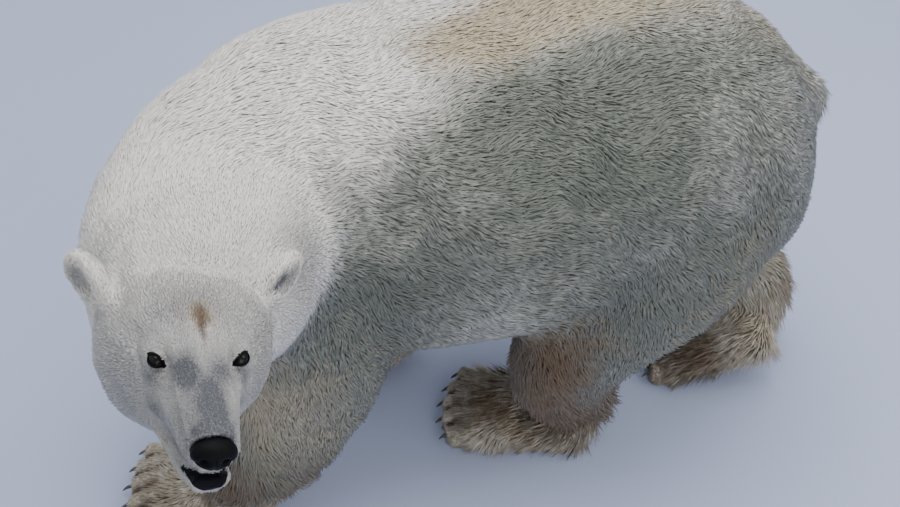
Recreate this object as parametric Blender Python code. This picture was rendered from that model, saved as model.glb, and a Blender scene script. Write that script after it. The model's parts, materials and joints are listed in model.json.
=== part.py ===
"""A polar bear, life size, as a still model. It stands with its left feet forward, its right hind heel
lifting, and turns its head far to its left to look up.

Metres, +Z up. The bear faces -Y and its left side is +X. The solids give the outer form of the coat. The
body is one smooth skin, joined from tapered tubes and then parted into its named pieces with thin gaps. The
jaw, nose, eyes, ears and claws are solids of their own, set into it. The origin is on the floor, at the
middle of the model's box.
"""

import math

import bmesh
import bpy
import numpy as np
from mathutils import Matrix, Vector

GAP = 0.0004  # between two pieces that touch
VOXEL = 0.0085  # grain of the joined body
SMOOTHING = 60
BODY_SHARE = 0.0132  # of the joined body's faces that its simpler form keeps
SHARP = math.radians(40)

# Along each tube: x, y, z, half width, height above and below its line.
TRUNK = [
    (-0.02, 1.00, 0.80, 0.09, 0.11, 0.15),
    (-0.02, 0.95, 0.79, 0.19, 0.19, 0.25),
    (-0.02, 0.86, 0.775, 0.265, 0.26, 0.31),
    (-0.03, 0.72, 0.76, 0.31, 0.30, 0.32),
    (-0.03, 0.52, 0.75, 0.33, 0.31, 0.32),
    (-0.03, 0.30, 0.745, 0.335, 0.305, 0.325),
    (-0.025, 0.10, 0.75, 0.32, 0.31, 0.32),
    (0.0, -0.05, 0.765, 0.27, 0.295, 0.30),
    (0.03, -0.15, 0.78, 0.205, 0.24, 0.26),
    (0.04, -0.24, 0.79, 0.13, 0.16, 0.17),
]
NECK = [
    (0.00, 0.05, 0.82, 0.24, 0.24, 0.26),
    (0.06, -0.06, 0.85, 0.235, 0.23, 0.25),
    (0.14, -0.125, 0.875, 0.22, 0.21, 0.235),
    (0.23, -0.165, 0.885, 0.21, 0.20, 0.215),
    (0.31, -0.19, 0.89, 0.195, 0.18, 0.19),
    (0.37, -0.205, 0.90, 0.165, 0.15, 0.155),
    (0.40, -0.21, 0.90, 0.12, 0.11, 0.11),
]
TAIL = [
    (-0.02, 0.94, 0.87, 0.05, 0.04, 0.04),
    (-0.02, 0.995, 0.845, 0.045, 0.035, 0.035),
    (-0.02, 1.02, 0.79, 0.038, 0.03, 0.03),
    (-0.02, 1.02, 0.745, 0.012, 0.01, 0.01),
]
LEGS = {
    "foreleg_left": [
        (0.17, 0.03, 0.84, 0.10, 0.15, 0.15),
        (0.20, 0.00, 0.66, 0.125, 0.175, 0.175),
        (0.21, -0.01, 0.48, 0.115, 0.14, 0.14),
        (0.185, -0.08, 0.27, 0.10, 0.115, 0.115),
        (0.165, -0.155, 0.13, 0.09, 0.095, 0.095),
        (0.155, -0.19, 0.05, 0.085, 0.085, 0.085),
    ],
    "foreleg_right": [
        (-0.17, 0.03, 0.84, 0.10, 0.15, 0.15),
        (-0.20, 0.03, 0.66, 0.125, 0.175, 0.175),
        (-0.21, 0.08, 0.48, 0.115, 0.14, 0.14),
        (-0.19, 0.14, 0.27, 0.10, 0.115, 0.115),
        (-0.175, 0.17, 0.13, 0.09, 0.095, 0.095),
        (-0.17, 0.16, 0.05, 0.085, 0.085, 0.085),
    ],
    "hindleg_left": [
        (0.14, 0.77, 0.80, 0.12, 0.17, 0.17),
        (0.17, 0.69, 0.64, 0.145, 0.18, 0.175),
        (0.18, 0.545, 0.45, 0.125, 0.14, 0.13),
        (0.15, 0.505, 0.29, 0.10, 0.105, 0.105),
        (0.11, 0.545, 0.15, 0.085, 0.09, 0.09),
        (0.10, 0.53, 0.05, 0.08, 0.08, 0.08),
    ],
    "hindleg_right": [
        (-0.16, 0.79, 0.80, 0.12, 0.17, 0.17),
        (-0.18, 0.77, 0.64, 0.145, 0.195, 0.195),
        (-0.17, 0.82, 0.45, 0.125, 0.15, 0.15),
        (-0.12, 0.91, 0.30, 0.105, 0.11, 0.11),
        (-0.07, 1.01, 0.205, 0.082, 0.085, 0.085),
        (-0.03, 0.99, 0.11, 0.075, 0.07, 0.07),
    ],
}

# Each foot: x and y of its middle, the way its toes turn in, its heel's lift, length, width.
PAWS = {
    "forepaw_left": (0.14, -0.30, 15, 0, 0.25, 0.215),
    "forepaw_right": (-0.165, 0.08, -12, 0, 0.25, 0.215),
    "hindpaw_left": (0.077, 0.43, 20, 0, 0.32, 0.19),
    "hindpaw_right": (0.0, 0.92, 20, 27, 0.32, 0.19),
}
PAW_HEIGHT = 0.085
TOES = 5
WRISTS = {"forepaw_left": 0.115, "forepaw_right": 0.115, "hindpaw_left": 0.12, "hindpaw_right": 0.205}

# The head in its own frame: the nose points to -Y and the origin is where the neck meets the skull.
HEAD_PLACE = Vector((0.388, -0.213, 0.90))
HEAD_YAW, HEAD_PITCH, HEAD_ROLL = math.radians(98), math.radians(27), math.radians(15.6)
SKULL = [
    (0.0, 0.07, -0.005, 0.135, 0.125, 0.135),
    (0.0, 0.00, 0.0, 0.14, 0.128, 0.134),
    (0.0, -0.06, 0.0, 0.143, 0.13, 0.130),
    (0.0, -0.11, 0.0, 0.132, 0.126, 0.124),
    (0.0, -0.155, 0.0, 0.107, 0.113, 0.112),
    (0.0, -0.20, 0.0, 0.080, 0.094, 0.092),
    (0.0, -0.245, -0.006, 0.060, 0.072, 0.060),
    (0.0, -0.30, -0.012, 0.050, 0.056, 0.043),
    (0.0, -0.355, -0.014, 0.043, 0.046, 0.034),
    (0.0, -0.387, -0.018, 0.036, 0.036, 0.024),
]
JAW = [
    (0.0, -0.15, -0.085, 0.062, 0.02, 0.031),
    (0.0, -0.20, -0.085, 0.052, 0.02, 0.030),
    (0.0, -0.26, -0.083, 0.045, 0.018, 0.028),
    (0.0, -0.31, -0.079, 0.038, 0.016, 0.024),
    (0.0, -0.35, -0.074, 0.033, 0.017, 0.021),
    (0.0, -0.369, -0.073, 0.023, 0.011, 0.014),
]
MOUTH_CORNER = -0.245
MOUTH_LEVEL = -0.0635
MOUTH_RISE = math.radians(6)
EYE = Vector((0.059, -0.206, 0.046))
EYE_RADIUS = 0.0135
SOCKET_RADIUS = 0.018
NOSE = Vector((0.0, -0.385, -0.014))
NOSE_SIZE = Vector((0.034, 0.020, 0.023))
EAR = Vector((0.150, -0.048, 0.110))
EAR_SIZE = Vector((0.037, 0.028, 0.049))
EAR_FACING = Vector((0.72, -0.64, -0.25))
EAR_UP = Vector((0.55, 0.2, 0.8))

COLORS = {
    "fur": ((0.80, 0.76, 0.66, 1), 0.9),
    "stained_fur": ((0.50, 0.38, 0.26, 1), 0.9),
    "skin": ((0.02, 0.02, 0.02, 1), 0.4),
    "eye": ((0.015, 0.01, 0.008, 1), 0.1),
    "claw": ((0.05, 0.04, 0.035, 1), 0.35),
}


def material(name):
    if name in bpy.data.materials:
        return bpy.data.materials[name]
    made = bpy.data.materials.new(name)
    made.use_nodes = True
    color, roughness = COLORS[name]
    shader = made.node_tree.nodes["Principled BSDF"]
    shader.inputs["Base Color"].default_value = color
    shader.inputs["Roughness"].default_value = roughness
    return made


def add(name, mesh):
    """A new object of this bmesh or mesh."""
    data = mesh
    if isinstance(mesh, bmesh.types.BMesh):
        bmesh.ops.recalc_face_normals(mesh, faces=mesh.faces)
        if mesh.calc_volume(signed=True) < 0:
            bmesh.ops.reverse_faces(mesh, faces=mesh.faces)
        data = bpy.data.meshes.new(name)
        mesh.to_mesh(data)
        mesh.free()
    piece = bpy.data.objects.new(name, data)
    bpy.context.scene.collection.objects.link(piece)
    return piece


def remove(pieces):
    for piece in pieces:
        bpy.data.objects.remove(piece)


def settle(piece):
    """The piece's mesh takes its modifiers' work."""
    graph = bpy.context.evaluated_depsgraph_get()
    data = bpy.data.meshes.new_from_object(piece.evaluated_get(graph))
    piece.modifiers.clear()
    piece.data = data


def spline(rows, steps):
    """The rows, with steps - 1 more eased in between each pair."""
    rows = np.array(rows, float)
    ends = np.vstack([2 * rows[0] - rows[1], rows, 2 * rows[-1] - rows[-2]])
    eased = []
    for before, start, stop, after in zip(ends, ends[1:], ends[2:], ends[3:]):
        for t in np.arange(steps) / steps:
            line = 2 * start + (stop - before) * t
            bend = (2 * before - 5 * start + 4 * stop - after) * t**2
            twist = (3 * start - before - 3 * stop + after) * t**3
            eased.append((line + bend + twist) / 2)
    return np.array([*eased, rows[-1]])


def tube(name, stations, sides=24, steps=4, square=2.3, across=None, frame=None):
    """A closed tube round its stations. Its width lies level, or along across."""
    rows = spline(stations, steps)
    slopes = np.gradient(rows[:, :3], axis=0)
    mesh = bmesh.new()
    rings = []
    for row, slope in zip(rows, slopes):
        along = Vector(slope).normalized()
        wide = Vector(across or Vector((0, 0, 1)).cross(along))
        wide = (wide - along * wide.dot(along)).normalized()
        high = along.cross(wide)
        if not across and high.z < 0:
            high = -high
        ring = []
        for turn in np.arange(sides) * 2 * math.pi / sides:
            c = math.copysign(abs(math.cos(turn)) ** (2 / square), math.cos(turn))
            s = math.copysign(abs(math.sin(turn)) ** (2 / square), math.sin(turn))
            reach = row[4] if s > 0 else row[5]
            ring.append(mesh.verts.new(Vector(row[:3]) + wide * (c * row[3]) + high * (s * reach)))
        rings.append(ring)
    for first, second in zip(rings, rings[1:]):
        for i in range(sides):
            j = (i + 1) % sides
            mesh.faces.new((first[i], first[j], second[j], second[i]))
    mesh.faces.new(rings[0])
    mesh.faces.new(rings[-1])
    if frame:
        mesh.transform(frame)
    return add(name, mesh)


def ball(name, frame, across=14, up=9):
    mesh = bmesh.new()
    bmesh.ops.create_uvsphere(mesh, u_segments=across, v_segments=up, radius=1, matrix=frame)
    return add(name, mesh)


def box(name, frame):
    mesh = bmesh.new()
    bmesh.ops.create_cube(mesh, size=1, matrix=frame)
    return add(name, mesh)


def grown(piece, by=GAP):
    """A copy, by wider all round."""
    mesh = bmesh.new()
    mesh.from_mesh(piece.data)
    mesh.normal_update()
    for vert in mesh.verts:
        vert.co += vert.normal * by * vert.calc_shell_factor()
    return add("grown", mesh)


def cut(piece, tool, operation="DIFFERENCE"):
    boolean = piece.modifiers.new("cut", "BOOLEAN")
    boolean.operation = operation
    boolean.object = tool
    settle(piece)


def take(body, region, name):
    """Parts from the body what lies in the region, as a piece of its own."""
    piece = add(name, body.data.copy())
    cut(piece, region, "INTERSECT")
    wider = grown(region)
    cut(body, wider)
    remove([region, wider])
    return piece


def let_in(piece, body):
    """Makes room for the piece in the body."""
    wider = grown(piece)
    cut(body, wider)
    remove([wider])


def head_frame():
    turn = Matrix.Rotation(HEAD_YAW, 4, "Z") @ Matrix.Rotation(-HEAD_PITCH, 4, "X")
    return Matrix.Translation(HEAD_PLACE) @ turn @ Matrix.Rotation(HEAD_ROLL, 4, "Y")


def paw_frame(name, lifted=False):
    """The frame of a foot: its middle on the floor, toes to -Y. A lifted one turns up about its toes."""
    x, y, turn_in, lift, length, width = PAWS[name]
    place = Matrix.Translation((x, y, 0)) @ Matrix.Rotation(math.radians(-turn_in), 4, "Z")
    if not lifted:
        return place
    toes = Vector((0, -0.25 * length, 0))
    return place @ Matrix.Translation(toes) @ Matrix.Rotation(math.radians(lift), 4, "X") @ Matrix.Translation(-toes)


def toe_line(name, toe):
    """Where a toe starts, which way it points and how long it is, in the foot's frame."""
    length, width = PAWS[name][4:]
    spread = (toe - (TOES - 1) / 2) / ((TOES - 1) / 2)
    root = Vector((spread * width * 0.38, -0.22 * length, PAW_HEIGHT * 0.42))
    aim = Vector((spread * 0.14, -1, 0)).normalized()
    return root, aim, length * (0.28 - 0.06 * spread**2)


def paw(name):
    """A flat foot with its toes, each a stubby tube."""
    length, width = PAWS[name][4:]
    half, high = length / 2, PAW_HEIGHT
    sole = [
        (0, half, high * 0.5, width * 0.30, high * 0.5, high * 0.62),
        (0, half * 0.7, high * 0.55, width * 0.36, high * 0.6, high * 0.70),
        (0, 0, high * 0.5, width * 0.44, high * 0.55, high * 0.66),
        (0, -half * 0.5, high * 0.45, width * 0.48, high * 0.42, high * 0.60),
        (0, -half * 0.65, high * 0.4, width * 0.40, high * 0.28, high * 0.50),
    ]
    pieces = [tube(name, sole, sides=20, frame=paw_frame(name, lifted=True))]
    for toe in range(TOES):
        root, aim, reach = toe_line(name, toe)
        rows = []
        for share, size in ((0, 0.8), (0.55, 1.0), (0.85, 0.9), (1.0, 0.5)):
            place = root + aim * reach * share
            place.z -= high * 0.08 * share
            rows.append((*place, size * width * 0.112, size * high * 0.36, high * 0.50))
        pieces.append(tube(name, rows, sides=12, frame=paw_frame(name)))
    return pieces


def claws(name):
    """Five curved claws, each from its toe's tip down to just over the floor."""
    front = name.startswith("forepaw")
    long = 0.040 if front else 0.032
    pieces = []
    for toe in range(TOES):
        root, aim, reach = toe_line(name, toe)
        tip = root + aim * (reach - 0.018)
        rows = []
        for share, size in ((0, 1.0), (0.4, 0.85), (0.75, 0.55), (1.0, 0.12)):
            place = tip + aim * long * share
            place.z = 0.036 + 0.008 * share - 0.036 * share**2
            rows.append((*place, 0.0055 * size, 0.0075 * size, 0.0075 * size))
        claw = tube(name.replace("paw", "claw") + f"_{toe + 1}", rows, 6, 1, 2, frame=paw_frame(name))
        pieces.append(claw)
    return pieces


def ear(name, side, head, dish=1.25):
    """A round ear, thick at its rim and dished on the side it faces."""
    flip = Vector((side, 1, 1))
    back = -(EAR_FACING * flip).normalized()
    across = back.cross(EAR_UP * flip).normalized()
    turn = Matrix((across, back, across.cross(back))).transposed().to_4x4()
    mesh = bmesh.new()
    bmesh.ops.create_uvsphere(mesh, u_segments=14, v_segments=9, radius=1)
    mesh.transform(Matrix.Rotation(math.pi / 2, 4, "X"))
    for vert in mesh.verts:
        out = math.hypot(vert.co.x, vert.co.z)
        if vert.co.y < 0:
            vert.co.y += dish * max(0, 1 - (out / 0.75) ** 2)
    mesh.transform(head @ Matrix.Translation(EAR * flip) @ turn @ Matrix.Diagonal((*EAR_SIZE, 1)))
    return add(name, mesh)


def nose(head):
    """The pad at the muzzle's end, with a nostril let into each side."""
    place = head @ Matrix.Translation(NOSE)
    pad = ball("nose", place @ Matrix.Diagonal((*NOSE_SIZE, 1)), 14, 9)
    for side in (1, -1):
        spot = Matrix.Translation((side * 0.014, -0.018, -0.002)) @ Matrix.Rotation(side * 0.5, 4, "Y")
        nostril = ball("nostril", place @ spot @ Matrix.Diagonal((0.0055, 0.008, 0.008, 1)), 6, 5)
        cut(pad, nostril)
        remove([nostril])
    return pad


def join(pieces):
    """One body of all the tubes, remeshed as one skin and smoothed where they meet."""
    mesh = bmesh.new()
    for piece in pieces:
        mesh.from_mesh(piece.data)
    remove(pieces)
    body = add("trunk", mesh)
    remesh = body.modifiers.new("join", "REMESH")
    remesh.mode = "VOXEL"
    remesh.voxel_size = VOXEL
    settle(body)
    group = body.vertex_groups.new(name="soft")
    into_head = head_frame().inverted()
    for vert in body.data.vertices:
        in_head = into_head @ vert.co
        soft = min(1, max(0.12, 0.12 + (vert.co.z - 0.14) / 0.35))
        if in_head.y < 0.05 and in_head.length < 0.5:
            soft = min(soft, max(0.10, 0.8 + in_head.y * 7))
        group.add([vert.index], soft, "REPLACE")
    smooth = body.modifiers.new("smooth", "SMOOTH")
    smooth.factor = 0.5
    smooth.iterations = SMOOTHING
    smooth.vertex_group = "soft"
    fewer = body.modifiers.new("fewer", "DECIMATE")
    fewer.ratio = BODY_SHARE
    settle(body)
    body.vertex_groups.clear()
    return body


def region_round(rows, more):
    """The convex space round a tube's stations, wider by more."""
    hose = tube("hose", [(*row[:3], *(size + more for size in row[3:])) for row in rows], 16, 1, across=(1, 0, 0))
    mesh = bmesh.new()
    for vert in hose.data.vertices:
        mesh.verts.new(vert.co)
    remove([hose])
    hull = bmesh.ops.convex_hull(mesh, input=mesh.verts)
    bmesh.ops.delete(mesh, geom=hull["geom_interior"], context="VERTS")
    return add("region", mesh)


def region_of_leg(name):
    """A rounded space round a leg, up into its shoulder or thigh."""
    top, upper, *lower = LEGS[name]
    peak = (top[0] * 1.5, top[1], top[2] + 0.03, 0.05, 0.06, 0.06)
    top = (top[0] * 1.45, top[1], top[2] - 0.02, 0.10, 0.12, 0.12)
    upper = (upper[0] * 1.15, *upper[1:])
    return region_round([peak, top, upper, *lower], 0.03)


def block(frame, low, high):
    """A box from low to high in the frame."""
    low, high = Vector(low), Vector(high)
    return box("region", frame @ Matrix.Translation((low + high) / 2) @ Matrix.Diagonal((*(high - low), 1)))


def finish(pieces):
    """Puts the origin below the middle of the box, and shades the pieces smooth."""
    points = np.array([vert.co for piece in pieces for vert in piece.data.vertices])
    low, high = points.min(axis=0), points.max(axis=0)
    middle = (low + high) / 2
    for piece in pieces:
        piece.data.transform(Matrix.Translation((-middle[0], -middle[1], -low[2])))
        piece.data.shade_smooth()
        piece.data.set_sharp_from_angle(angle=SHARP)


def main():
    remove(list(bpy.data.objects))
    head = head_frame()
    tubes = [tube("trunk", TRUNK, sides=32), tube("neck", NECK), tube("tail", TAIL, sides=12)]
    tubes += [tube("skull", SKULL, frame=head), tube("jaw", JAW, frame=head)]
    tubes += [tube(name, rows, across=(1, 0, 0)) for name, rows in LEGS.items()]
    for name in PAWS:
        tubes += paw(name)
    body = join(tubes)
    under = block(Matrix(), (-2, -2, -0.2), (2, 2, 0))
    cut(body, under)
    remove([under])

    made = {}
    for name in PAWS:
        region = block(paw_frame(name), (-0.13, -0.19, -0.1), (0.13, 0.30, WRISTS[name]))
        made[name] = take(body, region, name)
    for name in LEGS:
        made[name] = take(body, region_of_leg(name), name)
    made["head"] = take(body, block(head, (-0.3, -0.5, -0.25), (0.3, 0.06, 0.3)), "head")
    to_neck = Vector((0.66, -0.72, 0.2)).to_track_quat("Y", "Z").to_matrix().to_4x4()
    to_neck.translation = (0.18, -0.145, 0.885)
    made["neck"] = take(body, block(to_neck, (-0.4, 0, -0.4), (0.4, 0.5, 0.4)), "neck")
    made["tail"] = take(body, region_round(TAIL, 0.012), "tail")
    made["trunk"] = body

    mouth = head @ Matrix.Translation((0, MOUTH_CORNER, MOUTH_LEVEL)) @ Matrix.Rotation(-MOUTH_RISE, 4, "X")
    below_mouth = block(mouth, (-0.1, -0.3, -0.2), (0.1, 0, 0))
    made["lower_jaw"] = take(made["head"], below_mouth, "lower_jaw")
    set_in = [nose(head)]
    let_in(set_in[0], made["head"])
    for name, side in (("left", 1), ("right", -1)):
        place = Matrix.Translation((side * EYE.x, EYE.y, EYE.z))
        out = Matrix.Translation((side * 0.007, -0.011, 0.003))
        socket = ball("socket", head @ place @ out @ Matrix.Scale(SOCKET_RADIUS, 4), 10, 7)
        cut(made["head"], socket)
        remove([socket])
        set_in.append(ball(f"eye_{name}", head @ place @ Matrix.Scale(EYE_RADIUS, 4), 12, 8))
        let_in(set_in[-1], made["head"])
        room = ear("room", side, head, dish=0)
        let_in(room, made["head"])
        remove([room])
        set_in.append(ear(f"ear_{name}", side, head))
    for name in PAWS:
        for claw in claws(name):
            let_in(claw, made[name])
            set_in.append(claw)
    for piece in made.values():
        low = piece.name.startswith(("foreleg", "forepaw", "hindleg", "hindpaw"))
        piece.data.materials.clear()
        piece.data.materials.append(material("stained_fur" if low else "fur"))
    for piece in set_in:
        kind = piece.name.split("_")[0]
        skin = {"eye": "eye", "nose": "skin", "foreclaw": "claw", "hindclaw": "claw"}.get(kind, "fur")
        piece.data.materials.clear()
        piece.data.materials.append(material(skin))
    finish([*made.values(), *set_in])


if __name__ == "__main__":
    main()
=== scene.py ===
"""Looks of a life-size polar bear: one skin with its face, a coat of fur locks, eyes, nose and claws.

The skin is grown from the solids and lies inside them by the depth of the coat. The coat is made of small
solid locks that follow the lie of the fur. Metres, +Z up; the bear faces -Y and its left side is +X.
"""

import json
import math

import bmesh
import bpy
import numpy as np
from bpy.props import FloatProperty, FloatVectorProperty, IntProperty, PointerProperty
from mathutils import Matrix, Vector
from mathutils.bvhtree import BVHTree

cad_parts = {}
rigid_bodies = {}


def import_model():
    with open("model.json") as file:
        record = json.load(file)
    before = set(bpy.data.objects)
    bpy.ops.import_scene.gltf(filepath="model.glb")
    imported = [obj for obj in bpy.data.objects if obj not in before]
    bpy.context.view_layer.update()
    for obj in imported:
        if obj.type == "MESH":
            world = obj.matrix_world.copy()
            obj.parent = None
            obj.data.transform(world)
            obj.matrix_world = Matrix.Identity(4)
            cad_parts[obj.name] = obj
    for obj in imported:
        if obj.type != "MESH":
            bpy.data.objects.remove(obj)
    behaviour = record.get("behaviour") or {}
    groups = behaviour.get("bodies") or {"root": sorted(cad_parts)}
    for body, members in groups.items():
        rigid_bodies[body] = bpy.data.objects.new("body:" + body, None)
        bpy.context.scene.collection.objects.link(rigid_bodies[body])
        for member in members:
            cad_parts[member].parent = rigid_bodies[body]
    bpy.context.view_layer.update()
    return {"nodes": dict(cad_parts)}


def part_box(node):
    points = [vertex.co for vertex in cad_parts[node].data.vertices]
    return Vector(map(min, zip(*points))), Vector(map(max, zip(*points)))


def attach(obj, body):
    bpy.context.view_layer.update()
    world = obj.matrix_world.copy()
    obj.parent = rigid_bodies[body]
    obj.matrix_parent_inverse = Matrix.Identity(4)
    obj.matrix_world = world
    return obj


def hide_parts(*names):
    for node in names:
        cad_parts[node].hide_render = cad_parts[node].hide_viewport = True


bl_info = {
    "name": "Polar bear",
    "version": (1, 0, 0),
    "blender": (4, 5, 0),
    "location": "3D View > Sidebar > Polar bear",
    "description": "Builds the skin, coat, eyes, nose and claws of a standing polar bear",
    "category": "Object",
}

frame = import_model()

# How far the solids are grown into each other before they become one skin.
SKIN_OVERLAP = 0.0012
# The height of the skin's lowest points, and of the lowest tips of the coat, over the floor.
SKIN_FOOT = 0.0004
COAT_FOOT = 0.0012
# Skin below the first height is pressed flat as a sole, and below the second it may be a bare pad.
SOLE_TOP = 0.006
PAD_TOP = 0.010

PAWS = ("forepaw_left", "forepaw_right", "hindpaw_left", "hindpaw_right")
LEGS = ("foreleg_left", "foreleg_right", "hindleg_left", "hindleg_right")
FLESH = ("trunk", "neck", "head", "lower_jaw", "tail", "ear_left", "ear_right", *LEGS, *PAWS)

# Where the face's parts lie in the head's own frame: nose to -Y, left to +X.
EYE_SPOT = Vector((0.059, -0.206, 0.046))
NOSE_SPOT = Vector((0.0, -0.385, -0.014))
MOUTH_CORNER = (-0.245, -0.0635)
MOUTH_RISE = math.radians(6)
# The lids' radius, how far the eye lies before its spot, and the half width, height above and depth below
# of the lids' opening.
LID_RADIUS = 0.0139
EYE_FORWARD = 0.0018
EYE_OPENING = (0.0126, 0.0088, 0.0070)
# The roll of skin on the lids' rim: steps round the eye, and sides of the roll.
RIM_STEPS = 40
RIM_SIDES = 8
GAZE = Vector((0.52, -0.82, 0.24)).normalized()
LIP_FACING = np.array((0.0, -0.87, 0.49))
EAR = np.array((0.150, -0.048, 0.110))
EAR_SIZE = np.array((0.037, 0.028, 0.049))
EAR_FACING = np.array((0.72, -0.64, -0.25))
EAR_UP = np.array((0.55, 0.2, 0.8))
# Each ear's slit: its middle, the way it runs, its half length and how dark its painted shade is.
EAR_SLITS = {
    "ear_left": ((0.1455, -0.0515, 0.102), (0.54, 0.125, 0.832), 0.021, 1.0),
    "ear_right": ((-0.164, -0.031, 0.0975), (-0.41, 0.444, 0.80), 0.016, 0.6),
}
SLIT_DEPTH = np.array((0.200, 0.911, -0.362))
SLIT_WIDTH = 0.0068
SLIT_CUT = 0.012
# The ear's shape as a share of its size, and how far its front is filled and hollowed again.
EAR_SHARE = 0.90
EAR_FILL = 0.62
EAR_HOLLOW = 0.60
CLEFT_WIDTH = 0.0050
CLEFT_DEPTH = 0.011
FEET = {"forepaw": "foreclaw", "hindpaw": "hindclaw"}

# The clean fur of the back: the spine's place across the body, and how far back it reaches at each distance
# from the spine.
SPINE = -0.28
CLEAN_BACK = ((0.0, 0.08, 0.188, 0.237, 0.28, 0.346, 0.60), (0.30, 0.06, -0.08, -0.17, -0.24, -0.40, -0.90))

# Each region's coat: depth of the skin; length, width and lift of a lock; locks on a square metre; stray.
COAT = {
    "trunk": (0.010, 0.029, 0.0045, 0.15, 43000, 1.0),
    "neck": (0.010, 0.026, 0.0038, 0.12, 68000, 0.6),
    "head": (0.006, 0.016, 0.0027, 0.13, 115000, 0.4),
    "lower_jaw": (0.004, 0.010, 0.0024, 0.15, 130000, 0.4),
    "ear": (0.004, 0.011, 0.0026, 0.24, 140000, 0.5),
    "tail": (0.010, 0.038, 0.0050, 0.26, 45000, 1.0),
    "foreleg": (0.010, 0.029, 0.0046, 0.18, 42000, 1.0),
    "hindleg": (0.010, 0.031, 0.0046, 0.19, 42000, 1.0),
    "forepaw": (0.006, 0.030, 0.0042, 0.30, 52000, 1.1),
    "hindpaw": (0.006, 0.030, 0.0042, 0.30, 52000, 1.1),
}
MUZZLE = (0.003, 0.0062, 0.0019, 0.12, 215000, 0.25)
TOES = (0.004, 0.012, 0.0032, 0.20, 85000, 0.6)
REGIONS = list(COAT)

# The face's mounds and hollows, on both sides: height, middle and reach.
FACE_MOUNDS = (
    (0.0045, (0.056, -0.184, 0.082), (0.028, 0.022, 0.015)),
    (0.0030, (0.096, -0.165, 0.000), (0.030, 0.040, 0.030)),
    (-0.0055, (0.038, -0.236, 0.038), (0.013, 0.026, 0.014)),
    (-0.0030, (0.000, -0.190, 0.100), (0.012, 0.045, 0.030)),
    (0.0035, (0.034, -0.345, -0.034), (0.020, 0.032, 0.018)),
    (-0.0030, (0.000, -0.392, -0.044), (0.004, 0.020, 0.012)),
    (0.0030, (0.030, -0.325, -0.078), (0.012, 0.030, 0.014)),
)
# Markings: strength, middle and reach, in the head's frame; those of both sides with all measures positive.
# The thin fur tables also hold painted shade at the eyes and on the face's right side.
THIN_FUR_AND_SHADE_FACE = (
    (0.72, (0.003, -0.346, 0.028), (0.020, 0.060, 0.040)),
    (0.45, (0.0, -0.374, 0.012), (0.034, 0.012, 0.014)),
    (0.50, (0.003, -0.318, 0.030), (0.013, 0.034, 0.03)),
    # Painted shade at the right eye's inner corner, on the side of the face away from the light.
    (0.30, (-0.022, -0.262, 0.050), (0.014, 0.030, 0.022)),
)
# Painted shade at the inner corners of both eyes and under them.
EYE_SOCKET_SHADE = (
    (0.50, (0.028, 0.262, 0.050), (0.020, 0.030, 0.022)),
    (0.30, (0.066, 0.226, 0.026), (0.026, 0.026, 0.016)),
)
RUST_FACE = (
    (0.80, (0.004, -0.178, 0.097), (0.015, 0.030, 0.03)),
    (0.60, (0.003, -0.212, 0.084), (0.005, 0.026, 0.03)),
)
YELLOW_FACE = (0.006, -0.174, 0.097), (0.026, 0.040, 0.03)
BROW_STAIN = (0.004, -0.180, 0.097), (0.020, 0.034, 0.03)
FACE_WASH = (-0.006, -0.150, 0.105), (0.050, 0.045, 0.05)
# Painted shadow on the neck behind each ear.
SHADOW_BEHIND_EAR = (0.165, 0.015, 0.112), (0.050, 0.055, 0.062)
# Markings in the body's frame: middle and reach. The heel's mark is painted shadow under the flank, shown in
# the rust colour.
FROST = (0.0, 0.50, 0.93), (0.20, 0.13, 0.12)
WET_FLANK = (-0.04, 0.15, 0.98), (0.20, 0.18, 0.14)
RUST_THIGH = (0.05, 0.13, 0.48), (0.30, 0.100, 0.26)
SHADOW_AT_HEEL = (-0.155, 0.565, 0.11), (0.10, 0.045, 0.06)
RUST_TOES = (-0.125, 0.08, 0.075), (0.05, 0.045, 0.04)


class BearSizes(bpy.types.PropertyGroup):
    """Sizes that a user would change."""

    skin_grain: FloatProperty(
        name="Skin grain", description="Width of a face of the skin's body", default=0.0134, unit="LENGTH"
    )
    coat_length: FloatProperty(
        name="Coat length", description="Length of the locks against their natural length", default=1.0
    )
    coat_density: FloatProperty(
        name="Coat density", description="Number of locks against their natural number", default=1.0
    )
    coat_spread: FloatProperty(
        name="Coat spread", description="How far single locks stray from the lie of the coat", default=0.13
    )
    coat_wave: FloatProperty(
        name="Coat wave",
        description="How far whole clumps of locks swing from the lie of the coat",
        default=0.9,
    )
    eye_radius: FloatProperty(
        name="Eye radius", description="Radius of an eyeball", default=0.0132, unit="LENGTH"
    )
    seed: IntProperty(name="Seed", description="Start of the random scatter of the locks", default=7)


# What all the colours' properties share.
TINT = {"subtype": "COLOR", "size": 3}


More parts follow.
